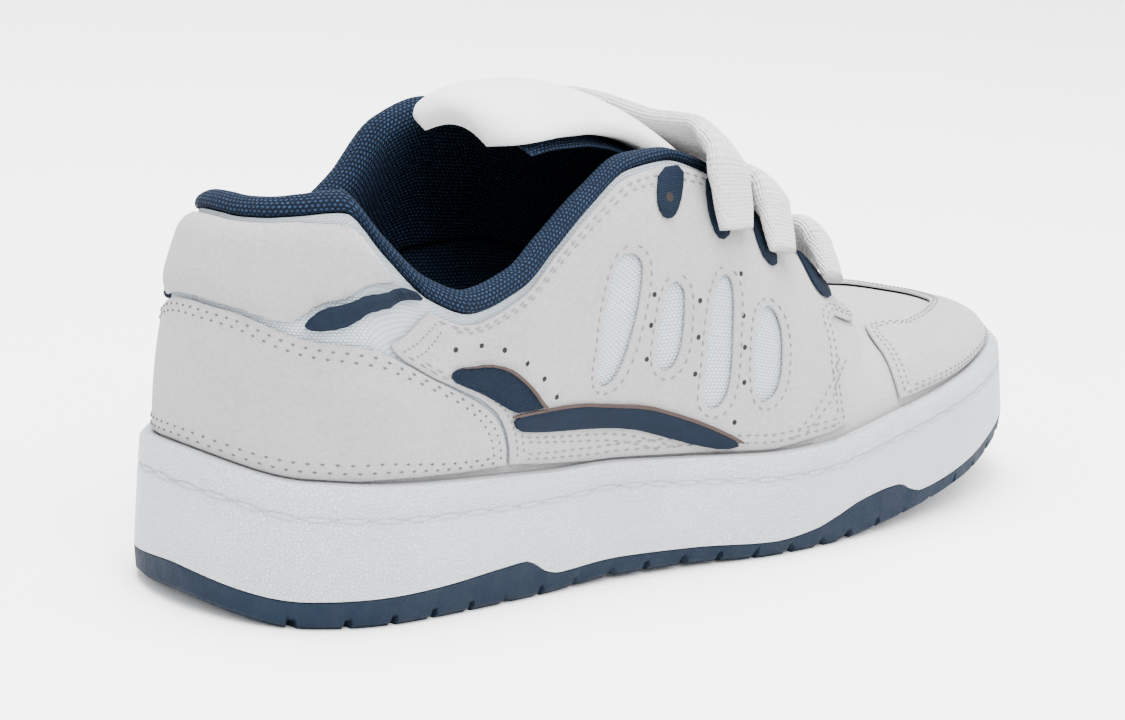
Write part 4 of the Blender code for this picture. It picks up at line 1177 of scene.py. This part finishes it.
def inner_row(outline, inset, rounds=2):
    """A row inside the outline at one distance from it, as chart places in order."""
    soft = rounded(outline, rounds)
    loop = np.array(dense_outline(soft, 0.8 * MM / AROUND_SIZE, 0.8 * MM / UP_SIZE))
    scaled = loop * (AROUND_SIZE, UP_SIZE)
    run = np.roll(scaled, -1, axis=0) - np.roll(scaled, 1, axis=0)
    run /= np.maximum(np.linalg.norm(run, axis=1), 1e-9)[:, None]
    area = np.sum(scaled[:, 0] * np.roll(scaled[:, 1], -1) - np.roll(scaled[:, 0], -1) * scaled[:, 1])
    inward = np.column_stack([-run[:, 1], run[:, 0]]) * (1 if area > 0 else -1)
    moved = (scaled + inward * inset) / (AROUND_SIZE, UP_SIZE)
    return moved, edge_distance([soft], moved) > abs(inset) * 0.93


def stitches(name, rows, look, long=2.1 * MM, space=1.0 * MM, thick=0.34 * MM, lift=1.8 * MM):
    """Short threads laid along rows of chart places on the upper."""
    starts, ends = [], []
    for places, good in rows:
        scaled = places * (AROUND_SIZE, UP_SIZE)
        step = np.linalg.norm(np.diff(scaled, axis=0), axis=1)
        run = np.append(0, np.cumsum(step))
        for place in np.arange(0, run[-1] - long, long + space):
            k = int(np.searchsorted(run, place))
            m = int(np.searchsorted(run, place + long))
            if m < len(good) and good[k:m + 1].all() and step[k:m].max(initial=0) < 3 * MM:
                starts.append([np.interp(place, run, places[:, i]) for i in (0, 1)])
                ends.append([np.interp(place + long, run, places[:, i]) for i in (0, 1)])
    threads(name, np.array(starts), np.array(ends), look, thick, lift)


def tube(faces, first, sides, steps):
    """Faces of a closed tube whose rings follow each other from the first vertex."""
    for ring in range(steps):
        bridge(faces, first + ring * sides, first + (ring + 1) * sides, sides)
    faces.append(tuple(first + i for i in range(sides)))
    faces.append(tuple(first + steps * sides + i for i in reversed(range(sides))))


def threads(name, starts, ends, look, thick, lift):
    """Threads that dip into the upper at both ends."""
    points, faces = [], []
    sides = 6
    mid = (starts + ends) / 2
    normal = last_normal(mid[:, 0], mid[:, 1])
    line = [on_upper(p[:, 0], p[:, 1], lift + crease(p[:, 0], p[:, 1])) for p in (starts, mid, ends)]
    for k in range(len(starts)):
        ahead = line[2][k] - line[0][k]
        ahead /= np.linalg.norm(ahead)
        across = np.cross(normal[k], ahead)
        first = len(points)
        for share, place, sink in zip((0.35, 1.0, 0.35), [row[k] for row in line], (-0.7, 0.0, -0.7)):
            for i in range(sides):
                turn = 2 * math.pi * i / sides
                points.append(place + (across * math.cos(turn) + normal[k] * math.sin(turn)) * thick * share
                              + normal[k] * thick * sink)
        tube(faces, first, sides, 2)
    solid(name, points, faces, None, LOOKS[look])


def discs(name, places, radius, look, lift):
    """Small flat dots on the upper, such as punched holes shown as dark dots of painted shade."""
    points, faces = [], []
    places = np.array(places)
    centre = on_upper(places[:, 0], places[:, 1], lift + crease(places[:, 0], places[:, 1]))
    normal = last_normal(places[:, 0], places[:, 1])
    sides = 10
    for c, n in zip(centre, normal):
        side = np.cross(n, [0, 0, 1.0])
        side /= np.linalg.norm(side)
        other = np.cross(n, side)
        first = len(points)
        for height in (0.0, -0.3 * MM):
            for i in range(sides):
                turn = 2 * math.pi * i / sides
                points.append(c + n * height + (side * math.cos(turn) + other * math.sin(turn)) * radius)
        points.append(c + n * 0.02 * MM)
        bridge(faces, first, first + sides, sides)
        faces.extend((first + i, first + 2 * sides, first + (i + 1) % sides) for i in range(sides))
        faces.append(tuple(first + sides + i for i in range(sides)))
    solid(name, points, faces, None, LOOKS[look])


# The sole
sole = around_loop(TURNS)
solid("outsole_fine", *outsole_solid(), None, LOOKS["navy_rubber"], ["outsole"])
lofted("midsole_fine", midsole_rings(sole), "cup", "midsole", sharp=50)
lofted("insole_fine", insole_rings(sole), "lining", "insole")


def groove_threads():
    """Long stitches that lie in the groove round the cup."""
    points, faces = [], []
    pitch, long, sides, steps = 9.0 * MM, 7.2 * MM, 6, 6
    dense = np.linspace(0, 2, 1600, endpoint=False)
    drop = cup(dense, 1) - RIM_HEIGHT * column(CUP_HEIGHTS, 3, fold(dense)[0]) - GROOVE_WIDTH / 2
    line = sole_point(dense, GROOVE_DEPTH - 0.45 * MM, drop)
    line = np.vstack([line, line[:1]])
    run = np.append(0, np.cumsum(np.linalg.norm(np.diff(line, axis=0), axis=1)))
    out = np.vstack([sole_edge(dense)[1], sole_edge(dense[:1])[1]])
    for number in range(int(run[-1] / pitch)):
        first = len(points)
        for k in range(steps + 1):
            s = k / steps
            place = number * pitch + long * s
            centre = np.array([np.interp(place, run, line[:, i]) for i in range(3)])
            away = np.array([np.interp(place, run, out[:, i]) for i in range(2)] + [0.0])
            sink = 1 - (2 * s - 1) ** 6
            for i in range(sides):
                turn = 2 * math.pi * i / sides
                ring = away * math.cos(turn) * 0.5 + np.array([0, 0, 1]) * math.sin(turn) * 0.7
                points.append(centre + ring * MM * (0.4 + 0.6 * sink) - away * (1 - sink) * 0.5 * MM)
        tube(faces, first, sides, steps)
    solid("midsole_stitches", points, faces, None, LOOKS["cup"])


groove_threads()

# The upper and its linings
around = around_loop(TURNS)
points, faces = upper_solid(TURNS, OUTER_ROWS, INNER_ROWS)
rows = [np.full(len(around), v) for v in list(OUTER_ROWS) + list(INNER_ROWS)]
turns = np.where(around > 1.98, around - 2, around)
places = np.vstack([np.column_stack([turns * AROUND_SIZE, r * UP_SIZE, 0 * r]) for r in rows])
outer_count = len(OUTER_ROWS) * len(around)
up_all = np.concatenate(rows)
around_all = np.tile(around, len(rows))
push = crease(around_all, up_all)
points = points + last_normal(around_all, np.clip(up_all, 0, 1)) * push[:, None]


def upper_look():
    """White mesh, painted darker in the gaps between its stitches as shade, with the suede of the toe apron
    and vamp in front, and the navy lining inside, painted lighter on its stitch tops as highlight.
    """
    look = Look("upper", rough=0.9, specular=0.12)
    u, v, side = look.chart()
    height = look.stitched(u, v, 1.0 * MM, 1.3 * MM)
    # Painted shade: the mesh is greyer in the gaps between the raised stitches.
    mesh_tone = look.mix(look.ramp(height, 0.1, 0.9), (0.28, 0.32, 0.36), (0.46, 0.51, 0.55))
    nap = look.noise(0.9 * MM, 5, 0.7, (1, 1, 2.2))
    hide = look.mix(look.ramp(nap, 0.28, 0.68), (0.275, 0.262, 0.264), (0.345, 0.328, 0.330))
    front = look.ramp(look.math("ABSOLUTE", look.math("SUBTRACT", u, AROUND_SIZE)), 0.43 * AROUND_SIZE,
                      0.425 * AROUND_SIZE)
    level = look.ramp(v, 0.06 * UP_SIZE, 0.10 * UP_SIZE)
    bare = look.math("MAXIMUM", front, look.math("SUBTRACT", 1.0, level))
    skin = look.mix(bare, mesh_tone, hide)
    # Painted highlight: the lining is lighter on the tops of its stitches.
    lining = look.mix(look.ramp(height, 0.2, 0.9), (0.0015, 0.0045, 0.011), (0.010, 0.022, 0.045))
    look.colour(look.mix(side, skin, lining))
    keep = look.math("SUBTRACT", 1.0, front)
    first = look.bump(look.math("MULTIPLY", height, keep), 0.35 * MM, 0.8)
    look.bump(nap, 0.4 * MM, 0.5, first)
    return look.material


places[outer_count:, 2] = 1.0
solid("upper_fine", points, faces, places, upper_look(), ["upper"], merge=True)

stations = np.linspace(-COLLAR_END, COLLAR_END, 220)
rings = [finer_ring(r, 4) for r in collar_rings(stations)]
roll = lofted("collar_roll", rings, "navy_mesh", "collar_lining", sharp=0)

# The free end of the tongue is rounded over this length
TONGUE_ROUNDING = 14 * MM
stations = np.linspace(TONGUE[0][0], TONGUE[-1][0], 70)
rings = tongue_sections(stations, 0.0, 0.0, 0.0, 48)
for ring in rings:
    reach = min(1.0, max(0.0, (ring[:, 0].mean() - TONGUE[0][0] * LENGTH) / TONGUE_ROUNDING))
    middle = ring[:, 1].mean()
    ring[:, 1] = middle + (ring[:, 1] - middle) * (0.55 + 0.45 * math.sqrt(1 - (1 - reach) ** 2))
tongue = lofted("tongue_fine", rings, "tongue", "tongue", sharp=60)
stations = np.linspace(TONGUE[1][0], TONGUE[10][0], 60)
rings = tongue_sections(stations, GAP, LINING, 1.2 * MM, 48)
lofted("tongue_back", rings, "navy_mesh", "tongue_lining", sharp=60)

# The overlays
panel = overlay("heel_panel", closed(HEEL_PANEL_EDGE, 0), OVERLAY_LOW, OVERLAY_TOP, "suede", puff=HEEL_PUFF)
overlay("heel_counter", closed(COUNTER_EDGE, 0), OVERLAY_LOW, OVERLAY_TOP, "suede")
overlay("toe_cap", closed(TOE_CAP_EDGE, 2), OVERLAY_LOW, OVERLAY_TOP, "suede")
TRIM_STEP = 1.0 * MM
PINHOLES = (
    (0.224, 0.73), (0.246, 0.77), (0.268, 0.69), (0.290, 0.56), (0.306, 0.44), (0.318, 0.33), (0.420, 0.55),
    (0.414, 0.45), (0.408, 0.34), (0.462, 0.51), (0.456, 0.39), (0.450, 0.27), (0.510, 0.62), (0.505, 0.47),
    (0.502, 0.36), (0.498, 0.24), (0.486, 0.105),
)
for side, turn in (("outer", tuple), ("inner", mirrored)):
    windows = [turn(w) for w in WINDOWS]
    overlay("quarter_" + side, turn(QUARTER_EDGE), OVERLAY_LOW, OVERLAY_TOP, "suede", holes=windows)
    overlay("heel_piping_" + side, turn(PIPING_EDGE), OVERLAY_LOW, TRIM_TOP, "navy_leather", step=TRIM_STEP)
    overlay("side_stripe_" + side, turn(STRIPE_EDGE), TRIM_LOW, TRIM_TOP, "navy_leather", step=TRIM_STEP)
    rim = list(STRIPE_EDGE[:8])
    rim += [(a, u + 0.013) for a, u in reversed(rim)]
    overlay("stripe_edge_" + side, turn(rim), TRIM_LOW, TRIM_TOP + 0.3 * MM, "brown_edge",
            step=0.8 * MM, own=False)
    rim = list(PATCH_EDGE[1:9])
    rim += [(a - 0.0025, u - 0.010) for a, u in reversed(rim)]
    overlay("patch_edge_" + side, turn(rim), TRIM_TOP + 0.05 * MM, TRIM_TOP + 0.4 * MM, "brown_edge",
            step=0.8 * MM, own=False)
    overlay("collar_patch_" + side, turn(PATCH_EDGE), TRIM_LOW, TRIM_TOP, "patch_mesh", step=TRIM_STEP)
    for number, edge in enumerate(LOOPS):
        overlay("lace_loop_%s_%d" % (side, number + 1), turn(edge), TRIM_LOW, TRIM_TOP, "patch_mesh",
                step=TRIM_STEP)
    seams = [inner_row(turn(QUARTER_EDGE), inset, 1) for inset in (2.2 * MM, 4.4 * MM)]
    seams += [inner_row(w, -2.2 * MM) for w in windows]
    stitches("quarter_stitches_" + side, seams, "thread")
    stitches("patch_stitches_" + side, [inner_row(turn(PATCH_EDGE), 1.8 * MM)], "navy_leather",
             lift=TRIM_TOP)
    # Pinholes and the lace loop's hole: dark discs of painted shade where the holes are.
    discs("pinholes_" + side, turn(PINHOLES), 0.75 * MM, "hole", OVERLAY_TOP + 0.06 * MM)
    discs("loop_hole_" + side, turn(((0.4485, 0.865),)), 1.3 * MM, "hole", TRIM_TOP + 0.06 * MM)
EXTRA_SEAMS = (
    ((0.612, 0.37), (0.592, 0.25), (0.578, 0.17), (0.560, 0.09), (0.546, 0.03)),
    ((0.620, 0.36), (0.600, 0.24), (0.586, 0.16), (0.568, 0.08), (0.556, 0.03)),
    ((0.286, 0.180), (0.340, 0.128), (0.388, 0.090), (0.414, 0.058), (0.438, 0.025)),
    ((0.288, 0.155), (0.340, 0.104), (0.385, 0.068), (0.410, 0.038), (0.424, 0.018)),
)
for side, turn in (("outer", 1), ("inner", -1)):
    rows_of = []
    for seam in EXTRA_SEAMS:
        line = np.array(seam, float)
        at = np.linspace(0, len(line) - 1, 200)
        line = np.stack([fair(np.arange(len(line)), line[:, i], at) for i in (0, 1)], axis=1)
        if turn < 0:
            line[:, 0] = 2 - line[:, 0]
        rows_of.append((line, np.full(len(line), True)))
    stitches("extra_stitches_" + side, rows_of, "thread")
seams = [inner_row(closed(COUNTER_EDGE, 0), inset, 1) for inset in (2.2 * MM, 4.6 * MM)]
stitches("counter_stitches", seams, "dark_thread", long=1.3 * MM, space=2.3 * MM)
seams = [inner_row(closed(TOE_CAP_EDGE, 2), inset, 1) for inset in (2.0 * MM, 4.2 * MM)]
stitches("toe_stitches", seams, "thread")

# The lace bars
for number, row in enumerate(LACE_BARS):
    lofted("lace_%d" % (number + 1), lace_rings(*row, 70, 32), "lace", "lace_bar_%d" % (number + 1), sharp=0)

# The floor, the light and the camera
floor_mesh = bpy.data.meshes.new("floor")
floor_mesh.from_pydata([(-6, -6, 0), (6, -6, 0), (6, 6, 0), (-6, 6, 0)], [], [(0, 1, 2, 3)])
floor = bpy.data.objects.new("floor", floor_mesh)
bpy.context.scene.collection.objects.link(floor)
ground_look = Look("floor", rough=0.9, specular=0.1)
ground_look.colour(ground_look.mix(ground_look.noise(0.5, 2), (0.93, 0.93, 0.93), (0.94, 0.94, 0.94)))
floor_mesh.materials.append(ground_look.material)

world = bpy.data.worlds.new("studio")
world.use_nodes = True
world.node_tree.nodes["Background"].inputs["Color"].default_value = (0.97, 0.985, 1.0, 1.0)
world.node_tree.nodes["Background"].inputs["Strength"].default_value = 2.35
bpy.context.scene.world = world


def area_light(name, place, target, size, power):
    data = bpy.data.lights.new(name, "AREA")
    data.shape = "RECTANGLE"
    data.size, data.size_y = size
    data.energy = power
    thing = bpy.data.objects.new(name, data)
    thing.location = place
    thing.rotation_euler = (Vector(target) - Vector(place)).to_track_quat("-Z", "Y").to_euler()
    bpy.context.scene.collection.objects.link(thing)


area_light("key", (-0.5, -0.9, 1.5), (0, 0, 0.05), (1.2, 1.2), 75)
area_light("top", (-0.02, 0.18, 1.5), (0, 0, 0.05), (0.8, 0.8), 62)
area_light("side", (1.4, -0.8, 0.9), (0, 0, 0.05), (1.0, 1.0), 14)

# The camera, as the photograph's: angles in degrees, the rest in pixels of its frame and metres
AZIMUTH, ELEVATION, ROLL = (math.radians(v) for v in (-45.94, 13.56, 4.31))
FOCAL_PIXELS, FRAME_WIDE, SHIFT_RIGHT, SHIFT_UP = 3667.0, 1125.0, -54.3, -21.1
LOOKED_AT, STAND_OFF = (0.151, 0.0, 0.050), 1.0
back = Vector((math.sin(AZIMUTH) * math.cos(ELEVATION), -math.cos(AZIMUTH) * math.cos(ELEVATION),
               math.sin(ELEVATION)))
right = (-back).cross(Vector((0, 0, 1))).normalized()
over = right.cross(-back)
right, over = (math.cos(ROLL) * right + math.sin(ROLL) * over,
               math.cos(ROLL) * over - math.sin(ROLL) * right)
camera_data = bpy.data.cameras.new("camera")
camera_data.sensor_width = 36.0
camera_data.lens = FOCAL_PIXELS * 36.0 / FRAME_WIDE
camera_data.shift_x = SHIFT_RIGHT / FRAME_WIDE
camera_data.shift_y = SHIFT_UP / FRAME_WIDE
camera_data.clip_start = 0.05
camera = bpy.data.objects.new("camera", camera_data)
place = Vector(LOOKED_AT) - Vector(ORIGIN) + back * STAND_OFF
camera.matrix_world = Matrix((
    (right.x, over.x, back.x, place.x),
    (right.y, over.y, back.y, place.y),
    (right.z, over.z, back.z, place.z),
    (0, 0, 0, 1),
))
bpy.context.scene.collection.objects.link(camera)
bpy.context.scene.camera = camera
